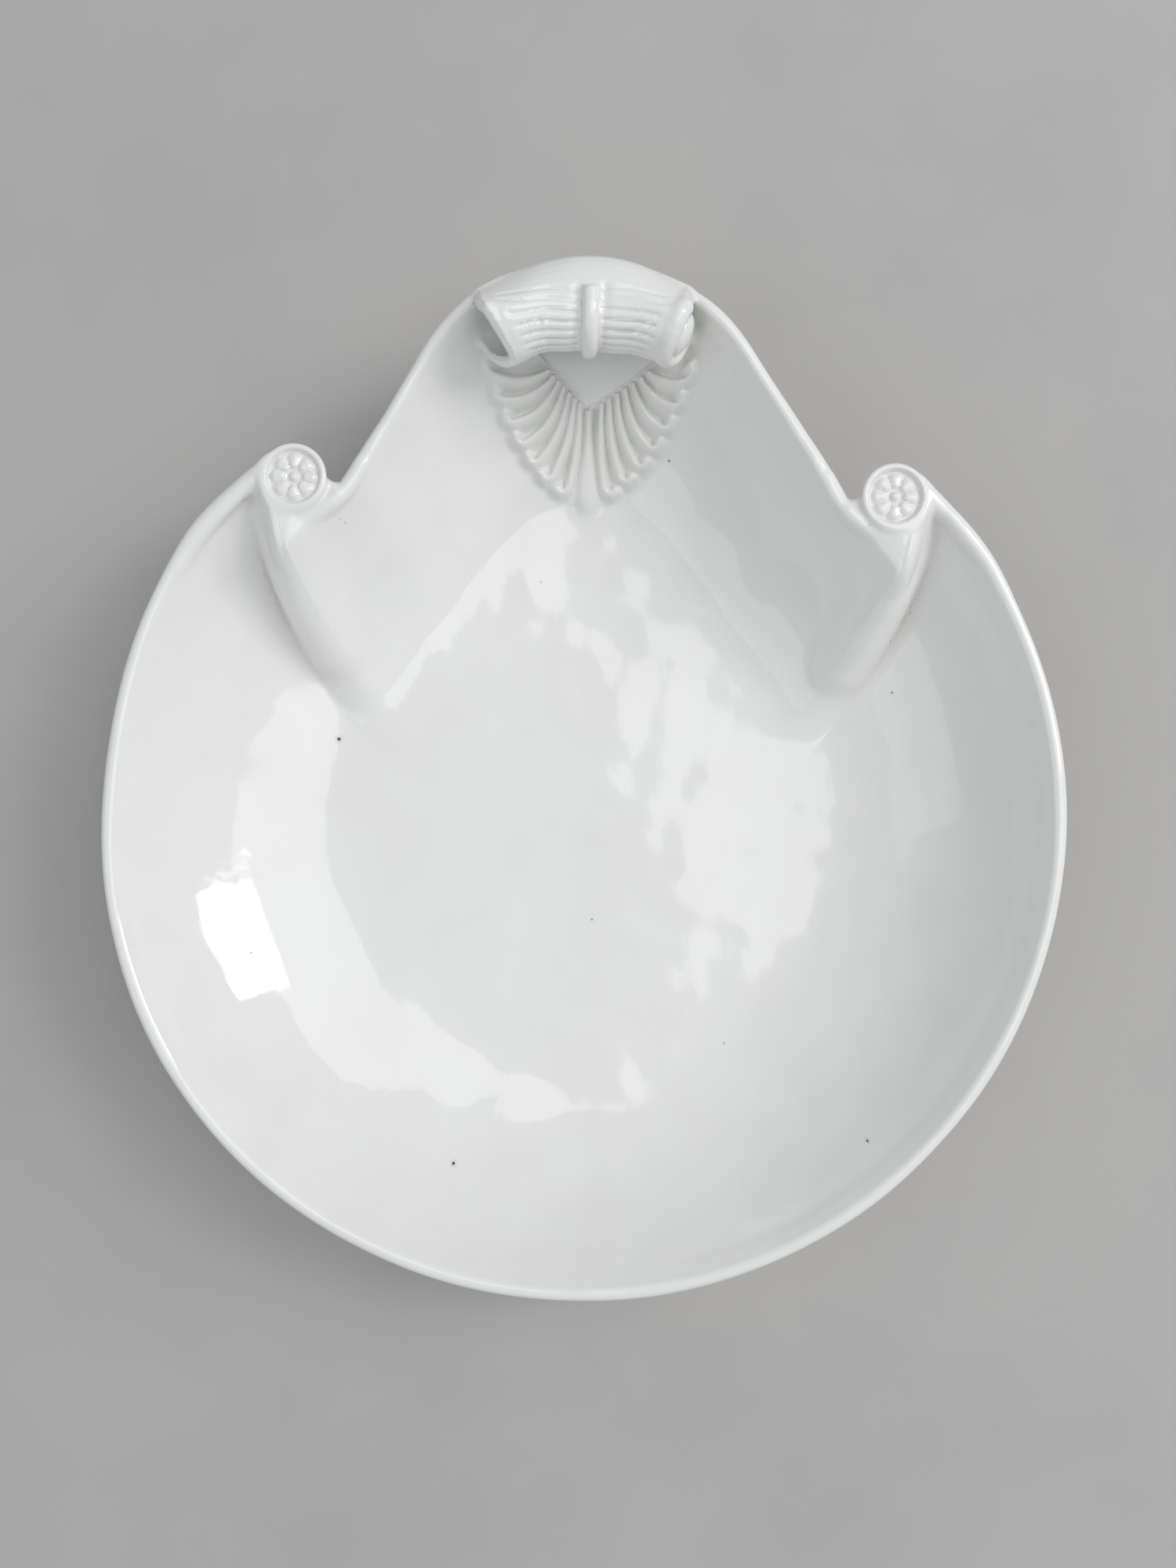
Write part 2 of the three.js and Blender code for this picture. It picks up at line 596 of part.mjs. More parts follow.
// Collar: the dish's lip running on over the end of the roll and winding in. side is 1 or -1.
function collarGeometry(side, grown) {
  const turns = rollTurn + 95 * degree;
  const steps = 13;
  const points = Array.from({ length: steps + 1 }, (_, i) => {
    const turn = turns * i / steps;
    const angle = turn - 5 * degree;
    const flare = 1 + endFlare(side);
    const outer = rollRadius * flare - collarRadius * 0.2;
    const wound = Math.max(0, turn - Math.PI / 2) / (2 * Math.PI);
    const radius = Math.max(outer - flare * rollPitch * wound, 1);
    const x = side * (collarX + 1.2 * (1 - smooth(0, 1.5, turn)));
    const y = rollCentreY + radius * Math.cos(angle);
    return new THREE.Vector3(x, y, rollCentreZ + radius * Math.sin(angle));
  });
  return taperedTube(points, [1, 1, 0.98, 0.9, 0.8, 0.7].map((s) => s * collarRadius + grown), 10);
}

// Plug that closes the right-hand end of the roll, inside the innermost turn of the sheet
function eyeGeometry() {
  const flare = 1 + endFlare(1);
  const turnedRadius = flare * (rollRadius - rollSheet / 2 - rollPitch * rollTurn / (2 * Math.PI));
  const radius = turnedRadius - rollEdge / 2 - seatGap;
  const profile = [[0, -eyeDepth], [radius, -eyeDepth], [radius, 0], [radius * 0.7, 0.6], [0, 0.9]];
  return new THREE.LatheGeometry(profile.map(([r, z]) => new THREE.Vector2(r, z)), 20)
    .rotateZ(-Math.PI / 2).translate(rollHalf, rollCentreY, rollCentreZ);
}

// Shield outline of the palmette: share runs from -1 at the left corner over the tip at 0 to 1
function shieldPoint(share) {
  const side = Math.sign(share) || 1;
  const corner = new THREE.Vector2(palmetteWidth / 2, palmetteTop);
  const tip = new THREE.Vector2(0, palmetteTip);
  const chord = corner.distanceTo(tip);
  const radius = (chord ** 2 / 4 + palmetteBulge ** 2) / (2 * palmetteBulge);
  const half = Math.asin(chord / 2 / radius);
  const along = corner.clone().sub(tip).normalize();
  const across = new THREE.Vector2(along.y, -along.x);
  const angle = mix(-half, half, Math.abs(share));
  const point = tip.clone().lerp(corner, 0.5)
    .addScaledVector(along, radius * Math.sin(angle))
    .addScaledVector(across, radius * Math.cos(angle) - radius + palmetteBulge);
  return new THREE.Vector2(side * point.x, point.y);
}

function fieldPoint(share) {
  const along = Math.abs(share);
  return new THREE.Vector2(share * fieldWidth / 2, mix(fieldTip, palmetteTop - 0.5, along));
}

// Point over the inner face of the fan's wall, at a plan position in the handle's own middle frame
function onWall(plan, lift) {
  const x = plan.x + handleOffset;
  return offShell(Math.hypot(x, plan.y), Math.atan2(x, plan.y), wall / 2 + lift);
}

// Leaves of the palmette: gadroons from the field's edges out to the beads on the shield
function palmetteGeometry() {
  const perLeaf = 4;
  const leafCount = 2 * sideLeaves + 1;
  const total = 2 * sideLeaves + middleLeafShare;
  const edges = [0];
  for (let leaf = 0; leaf < leafCount; leaf++) {
    edges.push(edges[leaf] + (leaf === sideLeaves ? middleLeafShare : 1));
  }
  const rows = [0, 0.12, 0.35, 0.6, 0.8, 0.92, 1];
  const swell = [0.15, 0.6, 0.8, 0.85, 1, 1, 0.25];
  const upper = [];
  const lower = [];
  for (let leaf = 0; leaf < leafCount; leaf++) {
    for (let part = leaf === 0 ? 0 : 1; part <= perLeaf; part++) {
      const inLeaf = part / perLeaf;
      const share = mix(edges[leaf], edges[leaf + 1], inLeaf) / total * 2 - 1;
      const crown = Math.sqrt(Math.max(0, 1 - (2 * inLeaf - 1) ** 2));
      const root = fieldPoint(share);
      const end = shieldPoint(share);
      end.lerp(root, 0.05 * (1 - crown));
      const bend = 0.09 * root.distanceTo(end) * Math.sin(Math.PI * share);
      const line = (row, lift) => {
        const plan = root.clone().lerp(end, row);
        plan.x -= bend * Math.sin(Math.PI * row);
        return onWall(plan, lift);
      };
      const relief = (i) => palmetteGround + leafRelief * swell[i] * crown;
      upper.push(rows.map((row, i) => line(row, seatGap + relief(i))));
      lower.push(rows.map((row) => line(row, seatGap)));
    }
  }
  return slab(upper, lower);
}

// Plain pointed field between the leaves and the handle
function fieldGeometry() {
  const inset = 0.97;
  const shares = [-1, -0.75, -0.5, -0.25, 0, 0.25, 0.5, 0.75, 1].map((s) => s * inset);
  const rows = [0, 0.33, 0.66, 1];
  const grid = (lift) => shares.map((share) => rows.map((row) => {
    const lowest = fieldPoint(share);
    const rise = 0.6 + 0.9 * (1 - Math.abs(share));
    lowest.y += rise;
    return onWall(new THREE.Vector2(lowest.x, mix(lowest.y, palmetteTop + 1.6, row)), lift);
  }));
  return slab(grid(seatGap + fieldThickness), grid(seatGap));
}

// Materials
const glaze = () => new THREE.MeshStandardMaterial({ color: 0xe9e8e2, roughness: 0.12, metalness: 0 });
const bareClay = () => new THREE.MeshStandardMaterial({ color: 0xd9d2c4, roughness: 0.75, metalness: 0 });

const dish = new THREE.Group();
dish.position.y = bowlY;

function addPiece(parent, name, geometry, material = glaze()) {
  const mesh = new THREE.Mesh(geometry, material);
  mesh.name = name;
  parent.add(mesh);
  return mesh;
}

// The shell gives way to the ears and collars, each with its clearance
const handle = new THREE.Group();
handle.position.x = handleOffset;
let shell = toSolid(shellGeometry(0));
for (const side of [-1, 1]) {
  const ear = earGeometry(seatGap);
  if (side < 0) ear.scale(-1, 1, 1).index.array.reverse();
  const collar = collarGeometry(side, seatGap).translate(handleOffset, 0, 0);
  shell = shell.subtract(toSolid(ear)).subtract(toSolid(collar));
}
addPiece(dish, 'dish_body', toGeometry(shell));
addPiece(dish, 'foot_ring', footGeometry(), bareClay());

for (const [word, side] of [['left', -1], ['right', 1]]) {
  const ear = earGeometry(0);
  if (side < 0) ear.scale(-1, 1, 1).index.array.reverse();
  addPiece(dish, `ear_scroll_${word}`, ear);
  const rosette = addPiece(dish, `ear_rosette_${word}`, rosetteGeometry());
  rosette.position.set(side * earAcross, earForward, 0);
}

addPiece(handle, 'handle_scroll', handleScrollGeometry());
addPiece(handle, 'handle_band', handleBandGeometry());
addPiece(handle, 'handle_collar_left', collarGeometry(-1, 0));
addPiece(handle, 'handle_collar_right', collarGeometry(1, 0));
addPiece(handle, 'handle_eye_right', eyeGeometry());
dish.add(handle);
addPiece(dish, 'palmette_leaves', palmetteGeometry());
addPiece(dish, 'palmette_field', fieldGeometry());

const part = new THREE.Group();
part.add(dish);

export default part;
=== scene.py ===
# %% [markdown]
# # A shell-shaped porcelain dish
# The dish was pressed in a mould, luted together while the clay was soft, and fired under one coat
# of clear glaze. Glaze runs into every joint, so what the eye sees is one unbroken white skin with
# soft fillets. The frame holds the separate pieces. This lesson makes the skin that covers them.

# %% The frame
import math
import time
import bpy
import numpy as np
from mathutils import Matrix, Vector


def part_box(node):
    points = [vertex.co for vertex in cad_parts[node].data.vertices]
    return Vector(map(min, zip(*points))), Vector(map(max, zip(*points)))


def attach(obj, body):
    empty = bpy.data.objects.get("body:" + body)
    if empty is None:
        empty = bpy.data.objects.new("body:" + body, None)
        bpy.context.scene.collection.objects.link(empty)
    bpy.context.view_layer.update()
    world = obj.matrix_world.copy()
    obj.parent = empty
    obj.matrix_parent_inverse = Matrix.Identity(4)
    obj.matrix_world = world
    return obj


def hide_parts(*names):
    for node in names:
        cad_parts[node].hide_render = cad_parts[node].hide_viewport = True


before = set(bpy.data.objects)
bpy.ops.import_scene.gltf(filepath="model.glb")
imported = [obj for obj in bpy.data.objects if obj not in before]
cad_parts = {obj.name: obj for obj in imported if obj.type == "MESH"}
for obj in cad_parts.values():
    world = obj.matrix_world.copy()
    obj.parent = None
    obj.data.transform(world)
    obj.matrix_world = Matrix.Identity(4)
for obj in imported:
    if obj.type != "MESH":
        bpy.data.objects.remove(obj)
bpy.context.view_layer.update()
started = time.time()
print("pieces of the frame:", sorted(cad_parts))

# %% [markdown]
# ## Sizes
# The measures come from the frame, so the skin lies where its pieces lie. They are kept in
# millimetres about the centre of the round bowl, with +Y toward the handle, because that is how a
# potter would draw the dish. `MM` turns them into metres at the end.

# %% Sizes read from the frame
MM = 0.001
TAU = 2 * math.pi
FOOT_INSET = 0.4            # the ring is drawn this much smaller than its solid


def node_box(name):
    low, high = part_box(name)
    return [c / MM for c in low], [c / MM for c in high]


body_low, body_high = node_box("dish_body")
foot_low, foot_high = node_box("foot_ring")
scroll_low, scroll_high = node_box("handle_scroll")
rosette_low, rosette_high = node_box("ear_rosette_right")
ear_high = node_box("ear_scroll_right")[1]

RIM_RADIUS = (body_high[0] - body_low[0]) / 2
BOWL_Y = body_low[1] + RIM_RADIUS
EAR_ACROSS = (rosette_low[0] + rosette_high[0]) / 2
EAR_FORWARD = (rosette_low[1] + rosette_high[1]) / 2 - BOWL_Y
EAR_HEIGHT = ear_high[2]
HOOD_BACK = scroll_high[1] - BOWL_Y
HANDLE_X = (scroll_low[0] + scroll_high[0]) / 2
FOOT_OUTER = (foot_high[0] - foot_low[0]) / 2 - FOOT_INSET
print(f"rim radius {RIM_RADIUS:.1f} mm, hood back {HOOD_BACK:.1f} mm")
print(f"ears at {EAR_ACROSS:.1f}, {EAR_FORWARD:.1f} mm, {EAR_HEIGHT:.1f} mm high")

# %% Sizes of the bowl
RIM_HEIGHT = 45.0
FLOOR_HEIGHT = 9.0
WALL = 3.6
LIP = 4.0
FLOOR_RADIUS = 72.0
FLOOR_SOFTNESS = 7.0        # how softly the floor turns up into the wall
BOWL_CURL = 0.6             # 0 is a straight wall, 1 one that is hollow all the way
MID_FLOOR = FLOOR_HEIGHT - WALL / 2
MID_END = RIM_RADIUS - LIP / 2
print(f"the wall runs from {FLOOR_RADIUS:.0f} to {MID_END:.0f} mm from the centre, {WALL} mm thick")

# %% Sizes of the fan at the back
HOOD_RADIUS = 49.3
HOOD_CENTRE_Y = HOOD_BACK - HOOD_RADIUS
FLANK_ANGLE = math.radians(34.0)
FAN_LEAN = 3.4              # the fan leans to the left on its way back
FAN_RIM_HEIGHT = 50.0
FAN_FLOOR_RADIUS = 64.0
FAN_CURL = 0.42
NOTCH_AZIMUTH = math.radians(37.4)

# %% Where the ears and the handle stand
EAR_RADIUS = 8.1
EAR_CLEARANCE = 0.4         # how far the rim passes outside the ear's ring
EAR_AZIMUTH = math.atan2(EAR_ACROSS, EAR_FORWARD)
EAR_DISTANCE = math.hypot(EAR_ACROSS, EAR_FORWARD)
EAR_OUTER_AZIMUTH = math.radians(44.5)
EAR_OUTER_DISTANCE = EAR_DISTANCE + EAR_RADIUS + EAR_CLEARANCE
ROLL_FROM_BACK = 14.6
ROLL_RISE = 1.0
HANDLE_WIDTH = 51.6
COLLAR_RADIUS = 2.0
ROLL_Y = HOOD_BACK - ROLL_FROM_BACK
ROLL_Z = FAN_RIM_HEIGHT + ROLL_RISE
HANDLE_AZIMUTH = math.atan2(HANDLE_WIDTH / 2 + COLLAR_RADIUS, ROLL_Y)
print(f"ears {EAR_DISTANCE:.1f} mm from the centre, the roll's axis at {ROLL_Y:.1f}, {ROLL_Z:.1f} mm")

# %% [markdown]
# ## The camera
# The dish was seen from straight above, from about 29 cm over its rim, through a wide lens. The
# picture is turned by about two degrees, so the handle leans a little to the left of upright.

# %% Camera
PHOTO_SCALE = 5.15          # pixels for one millimetre at the height of the rim
LENS_MM = 27.2              # on a sensor whose long side is 36 mm
SENSOR_MM = 36.0
PHOTO_LONG_SIDE = 2000
PHOTO_TURN = math.radians(1.94)
LOOK_AT = (0.94, 8.4)       # the point of the rim's plane under the lens, about the bowl's centre

camera_data = bpy.data.cameras.new("camera")
camera_data.lens = LENS_MM
camera_data.sensor_width = SENSOR_MM
camera = bpy.data.objects.new("camera", camera_data)
bpy.context.collection.objects.link(camera)
lens_height = PHOTO_LONG_SIDE * LENS_MM / SENSOR_MM / PHOTO_SCALE
camera.location = (LOOK_AT[0] * MM, (LOOK_AT[1] + BOWL_Y) * MM, (RIM_HEIGHT + lens_height) * MM)
camera.rotation_euler = (0, 0, PHOTO_TURN)
camera_data.clip_start = 0.01
bpy.context.scene.camera = camera
print(f"camera {lens_height:.0f} mm above the rim")

# %% [markdown]
# ## A form as a formula
# Fillets between a thin wall, a rolled sheet and small ornaments are hard to model face by face.
# Here the whole dish is one function of a point: how far the point lies outside the porcelain.
# Pieces are joined with a smooth minimum, which lays a fillet of glaze into each joint. Last, a
# mesh is drawn where the function is zero.


# %% Small mathematics
def mix(a, b, t):
    return a + (b - a) * t


def smooth(start, end, t):
    s = np.clip((t - start) / (end - start), 0, 1)
    return s * s * (3 - 2 * s)


def soft_ramp(t, softness):
    return (t + np.hypot(t, softness)) / 2


def smooth_union(a, b, fillet):
    h = np.clip(0.5 + 0.5 * (b - a) / fillet, 0, 1)
    return mix(b, a, h) - fillet * h * (1 - h)


def smooth_cut(a, b, fillet):
    return -smooth_union(-a, -b, fillet)


def bezier(points, t):
    p0, p1, p2, p3 = [np.array(p) for p in points]
    s = 1 - t
    return s**3 * p0 + 3 * s * s * t * p1 + 3 * s * t * t * p2 + t**3 * p3


# %% [markdown]
# ## The shell
# Seen from above the outline is a circle with a peaked fan at the back: a round hood between two
# straight flanks. The wall is a sheet of even thickness about a middle surface, given as a height
# over the distance and azimuth from the bowl's centre. Between bowl and fan lies a fold.


# %% Outline of the fan
LEAN_START, LEAN_END = 78, 125  # between these distances from the centre the fan's lean sets in
FLANK_DISTANCE = HOOD_CENTRE_Y * math.sin(FLANK_ANGLE) + HOOD_RADIUS
TANGENT_AZIMUTH = math.atan2(
    HOOD_RADIUS * math.cos(FLANK_ANGLE), HOOD_CENTRE_Y + HOOD_RADIUS * math.sin(FLANK_ANGLE))


def fan_outline(azimuth):
    a = np.abs(azimuth)
    across = HOOD_CENTRE_Y * np.sin(a)
    arc = HOOD_CENTRE_Y * np.cos(a) + np.sqrt(np.maximum(HOOD_RADIUS**2 - across**2, 0))
    flank = FLANK_DISTANCE / np.sin(np.clip(a + FLANK_ANGLE, 0.1, 2.6))
    return np.where(a < TANGENT_AZIMUTH, arc, flank)


def leaning(azimuth):
    """The azimuth at which an upright fan would have the point that the leaning fan has here."""
    distance = fan_outline(np.minimum(np.abs(azimuth), NOTCH_AZIMUTH))
    forward = distance * np.cos(azimuth)
    return azimuth + FAN_LEAN * smooth(LEAN_START, LEAN_END, forward) * np.cos(azimuth) / distance


print(f"the flanks start {math.degrees(TANGENT_AZIMUTH):.1f} degrees from straight back")

# %% Outline of the whole dish
ROUND_BUMPS = [(-52, 16, 0.9), (-84, 12, -1.0), (-128, 26, 1.0)]  # azimuth and width in degrees, rise
ROUND_RISE = 0.6
ROUND_START = math.radians(4)  # over this much of the rim past the ear it sets in
EAR_RETURN = math.radians(13)  # how soon the rim is round again past the ear


def out_of_round(azimuth):
    """How far the rim is outside a true circle: it was trimmed by hand."""
    degrees = np.degrees(azimuth)
    out = ROUND_RISE
    for middle, width, rise in ROUND_BUMPS:
        out = out + rise * np.exp(-(((degrees - middle) / width) ** 2))
    return out * smooth(EAR_OUTER_AZIMUTH, EAR_OUTER_AZIMUTH + ROUND_START, np.abs(azimuth))


def outline(azimuth):
    a = np.abs(leaning(azimuth))
    fan = fan_outline(np.minimum(a, EAR_OUTER_AZIMUTH))
    ear = mix(fan, EAR_OUTER_DISTANCE, smooth(NOTCH_AZIMUTH, EAR_OUTER_AZIMUTH, a))
    past_ear = smooth(EAR_OUTER_AZIMUTH, EAR_OUTER_AZIMUTH + EAR_RETURN, a)
    bowl = mix(EAR_OUTER_DISTANCE, RIM_RADIUS, past_ear)
    return np.where(a < EAR_OUTER_AZIMUTH, ear, bowl + out_of_round(azimuth))


def shell_end(azimuth):
    """Where the lip's round edge is centred."""
    return outline(azimuth) - LIP / 2


places = {"back": 0.0, "left notch": -NOTCH_AZIMUTH, "right notch": NOTCH_AZIMUTH, "front": math.pi}
for name, azimuth in places.items():
    print(f"outline at the {name}: {float(outline(np.array(azimuth))):.1f} mm")


# %% Heights of the lip
EAR_CLIMB = math.radians(20)  # the rim climbs to the ear over this much of its round
SHOULDER_RISE = 2.0
SHOULDER_AZIMUTH = math.radians(5)


def rim_top(azimuth):
    """Height of the lip's top: it climbs to the ears."""
    near_ear = 1 - smooth(EAR_OUTER_AZIMUTH, EAR_OUTER_AZIMUTH + EAR_CLIMB, np.abs(azimuth))
    return RIM_HEIGHT + (EAR_HEIGHT - 1.0 - RIM_HEIGHT) * near_ear


def fan_top(azimuth):
    """Height of the fan's lip: shoulders beside the handle, then down to the ears."""
    a = np.abs(azimuth)
    shoulder = SHOULDER_RISE * np.exp(-(((a - HANDLE_AZIMUTH) / SHOULDER_AZIMUTH) ** 2))
    return mix(FAN_RIM_HEIGHT + 1, EAR_HEIGHT - 1.2, smooth(HANDLE_AZIMUTH, NOTCH_AZIMUTH, a)) + shoulder


print(f"lip {rim_top(EAR_OUTER_AZIMUTH):.1f} mm high at the ears, {fan_top(0.0):.1f} mm at the back")


# %% Middle surface of bowl and fan
VALLEY_DEPTH = 22.0         # how much further out the fan's wall starts in its middle
VALLEY_AZIMUTH = math.radians(26)
NOTCH_BLEND = math.radians(28)
NOTCH_SOFTNESS = math.radians(5.5)
NOTCH_FILL = 2.0            # how much sooner the fan's wall is at its top beside the notch
LEVEL_SOFTNESS = 0.06       # how softly it levels out there


def wall_rise(t, softness, curl):
    rise = soft_ramp(t, softness) / soft_ramp(1.0, softness)
    return (1 - curl) * rise + curl * rise**3


def bowl_mid(r, azimuth):
    run = MID_END - FLOOR_RADIUS
    r = r - out_of_round(azimuth) * smooth(FLOOR_RADIUS, MID_END, r)
    top = rim_top(azimuth) - LIP / 2
    rise = wall_rise((r - FLOOR_RADIUS) / run, FLOOR_SOFTNESS / run, BOWL_CURL)
    return MID_FLOOR + (top - MID_FLOOR) * rise


def fan_mid(r, azimuth):
    a = np.abs(azimuth)
    start = FAN_FLOOR_RADIUS + VALLEY_DEPTH * np.exp(-((a / VALLEY_AZIMUTH) ** 2))
    limit = np.sign(azimuth) * (NOTCH_AZIMUTH - soft_ramp(NOTCH_AZIMUTH - a, NOTCH_SOFTNESS))
    end = shell_end(limit) - NOTCH_FILL * smooth(NOTCH_BLEND, NOTCH_AZIMUTH, a)
    run = end - start
    top = fan_top(azimuth) - LIP / 2
    softness = mix(0.002, LEVEL_SOFTNESS, smooth(NOTCH_BLEND, NOTCH_AZIMUTH, a))
    t = 1.0 - soft_ramp(1.0 - (r - start) / run, softness)
    return MID_FLOOR + (top - MID_FLOOR) * wall_rise(t, FLOOR_SOFTNESS / run, FAN_CURL)


# %% The fold between bowl and fan
FOLD_RIM_AZIMUTH = math.radians(47.8)
FOLD_FLOOR_AZIMUTH = math.radians(68.2)
FOLD_WIDTH = 13.5           # from the valley to the crest
FOLD_CREST = 1.6


def inside_fold(r, azimuth):
    """How far a place lies inside the fold's line, measured round the dish."""
    along = (r - FLOOR_RADIUS) / (MID_END - FLOOR_RADIUS)
    return (mix(FOLD_FLOOR_AZIMUTH, FOLD_RIM_AZIMUTH, along) - np.abs(azimuth)) * r


def shell_mid(r, azimuth):
    inside = inside_fold(r, azimuth)
    in_fan = smooth(-0.15 * FOLD_WIDTH, 0.85 * FOLD_WIDTH, inside)
    crest = FOLD_CREST * np.exp(-(((inside - 0.9 * FOLD_WIDTH) / (0.7 * FOLD_WIDTH)) ** 2))
    crest = crest * smooth(FLOOR_RADIUS, MID_END, r)
    return mix(bowl_mid(r, azimuth), fan_mid(r, azimuth), in_fan) + crest


front_height = float(shell_mid(np.array(MID_END), np.array(math.pi)))
print(f"middle surface {front_height:.1f} mm high at the front of the rim")


# %% Distance to the shell
LIP_REACH = 12              # the lip's round edge is worked out this near to it
LIP_SWELL = (-6, -2)        # between these distances from the edge the wall swells into the lip


def shell_field(x, y, z, relief):
    """Distance outside the wall, which is thicker by the relief on its upper side."""
    r = np.hypot(x, y)
    azimuth = np.arctan2(x, y)
    step = 0.2
    end = shell_end(azimuth)
    inner = np.minimum(r, end)
    height = shell_mid(inner, azimuth)
    slope_out = (height - shell_mid(inner - step, azimuth)) / step
    turn = step / np.maximum(r, 5)
    slope_round = (shell_mid(inner, azimuth + turn) - height) / step
    lean = 1 / np.sqrt(1 + slope_out**2 + slope_round**2)
    across = (z - height - slope_out * (r - inner)) * lean
    near_lip = r > end - LIP_REACH
    end_height = np.where(near_lip, shell_mid(end, azimuth), height)
    oblique = (shell_end(azimuth + turn) - end) / step
    past = ((r - end) + (z - end_height) * slope_out) / np.sqrt(1 + slope_out**2)
    past = past / np.sqrt(1 + oblique**2)
    past = np.where(near_lip, past, -LIP_REACH)
    half = WALL / 2 + (LIP - WALL) / 2 * smooth(*LIP_SWELL, past) + relief / 2
    return np.hypot(across - relief / 2, np.maximum(past, 0)) - half


# %% [markdown]
# ## Foot, ears and rosettes
# The foot is a low ring under the floor. Each ear is the rolled end of the fold: a tapering column
# that leans down the wall, closed by a small dish that holds a rosette.


# %% Foot ring
FOOT_WIDTH = 6.0
FOOT_TAPER = 1.3
FOOT_SEAT = 1.5             # the ring's top ends this far below the floor's upper side
FOOT_SOFTNESS = 0.9


def foot_field(x, y, z):
    r = np.hypot(x, y)
    centre = FOOT_OUTER - FOOT_WIDTH / 2
    taper = FOOT_TAPER * np.clip(1 - z / FLOOR_HEIGHT, 0, 1)
    side = np.abs(r - centre) - (FOOT_WIDTH / 2 - taper)
    low = -z
    high = z - (FLOOR_HEIGHT - FOOT_SEAT)
    return smooth_cut(smooth_cut(side, low, FOOT_SOFTNESS), high, FOOT_SOFTNESS)


print(f"foot ring {2 * FOOT_OUTER:.1f} mm across")


# %% Ear columns
EAR_STEPS = 12
NECK_FROM_TOP = (2.0, -2.0, -8.7)  # from the middle of the ear's top down to the neck
LEAN_FROM_NECK = (1.8, -6.5, -7.5)  # the way the column takes below it
NECK_RADIUS = 8.4
COLUMN_MIDDLE = {"r": 94, "radius": 6.6, "lift": 1.1, "aside": 2.4}
COLUMN_FOOT = {"r": 80.0, "radius": 5.2, "lift": -0.5, "aside": 0.8}  # here it has sunk into the wall


def crest_point(r, aside):
    """A point of the crest's upper side and the direction out of it, for the right side."""
    along = (r - FLOOR_RADIUS) / (MID_END - FLOOR_RADIUS)
    a = mix(FOLD_FLOOR_AZIMUTH, FOLD_RIM_AZIMUTH, along) - (0.75 * FOLD_WIDTH - aside) / r
    height = float(shell_mid(np.array(r), np.array(a)))
    slope = height - float(shell_mid(np.array(r - 1.0), np.array(a)))
    out = np.array([-slope * math.sin(a), -slope * math.cos(a), 1.0]) / math.hypot(slope, 1)
    return np.array([r * math.sin(a), r * math.cos(a), height]) + out * WALL / 2, out


def column_centre(r, radius, lift, aside):
    """Where a column of a radius is centred that rises so far over the crest, or aside from it."""
    surface, out = crest_point(r, aside)
    return surface - out * (radius - lift)


ear_top = np.array([EAR_ACROSS, EAR_FORWARD, EAR_HEIGHT])
neck = ear_top + NECK_FROM_TOP
column = (neck, neck + LEAN_FROM_NECK, column_centre(**COLUMN_MIDDLE), column_centre(**COLUMN_FOOT))
ear_line = [(ear_top, EAR_RADIUS)]
for t in np.linspace(0, 1, EAR_STEPS):
    ear_line.append((bezier(column, t), mix(NECK_RADIUS, COLUMN_FOOT["radius"], t**0.8)))
print("the ear's column sinks into the wall at", np.round(ear_line[-1][0], 1))

# %% The rim's lip runs on into the ring
LIP_STEPS = 10
LIP_START = math.radians(60)
LIP_END = EAR_AZIMUTH + math.radians(1.0)
LIP_THINNING = 1.2          # the line starts thinner than the lip, so that it comes out of it unseen
LIP_INWARD = 0.4            # how strongly its last stretch, from this share on, bends inward
LIP_LAST = 0.7
lip_line = []
for t in np.linspace(0, 1, LIP_STEPS):
    a = mix(LIP_START, LIP_END, t)
    beyond = max(a, EAR_OUTER_AZIMUTH)
    distance = float(outline(np.array(beyond))) - LIP / 2 - LIP_INWARD * max(0.0, t - LIP_LAST)
    height = float(rim_top(a)) - LIP / 2
    place = np.array([distance * math.sin(a), distance * math.cos(a), height])
    lip_line.append((place, LIP / 2 - LIP_THINNING * (1 - float(smooth(0.0, 0.6, t)))))
print("the lip ends in the ring at", np.round(lip_line[-1][0], 1))

# %% The fan's lip curls in under the near side of the ring
CURL_START, CURL_LEAVES = math.radians(34), math.radians(38)
CURL_RADII = (0.8, 1.0)     # its radius at the start, and how much it grows


def fan_lip_point(a):
    distance = float(shell_end(np.array(a)))
    return np.array([distance * math.sin(a), distance * math.cos(a), float(fan_top(a)) - LIP / 2])


curl = (fan_lip_point(CURL_START), fan_lip_point(CURL_LEAVES) + [-1.2, -1.6, -0.4],
        ear_top + [-8.6, -6.8, -2.8], ear_top + [-2.4, -8.6, -4.2])
curl_line = []
for t in np.linspace(0, 1, LIP_STEPS):
    curl_line.append((bezier(curl, t), CURL_RADII[0] + CURL_RADII[1] * float(smooth(0, 0.5, t))))
print("the curl ends at", np.round(curl_line[-1][0], 1))


# %% Distance to a line of round cones
def round_cones(x, y, z, line):
    """Distance to a rounded rod along points that each have a radius."""
    best = np.full(x.shape, 1e9)
    for (a, ra), (b, rb) in zip(line, line[1:]):
        d = b - a
        t = np.clip(((x - a[0]) * d[0] + (y - a[1]) * d[1] + (z - a[2]) * d[2]) / d.dot(d), 0, 1)
        gap = np.sqrt((x - a[0] - t * d[0]) ** 2 + (y - a[1] - t * d[1]) ** 2 + (z - a[2] - t * d[2]) ** 2)
        best = np.minimum(best, gap - mix(ra, rb, t))
    return best


# %% The ear's top with its rosette
EAR_RING = 1.6
EAR_RECESS = 1.3
PETALS = 8
PETAL_RISE = 1.0
BOSS_RISE = 1.0
EAR_SOFTNESS = 0.9


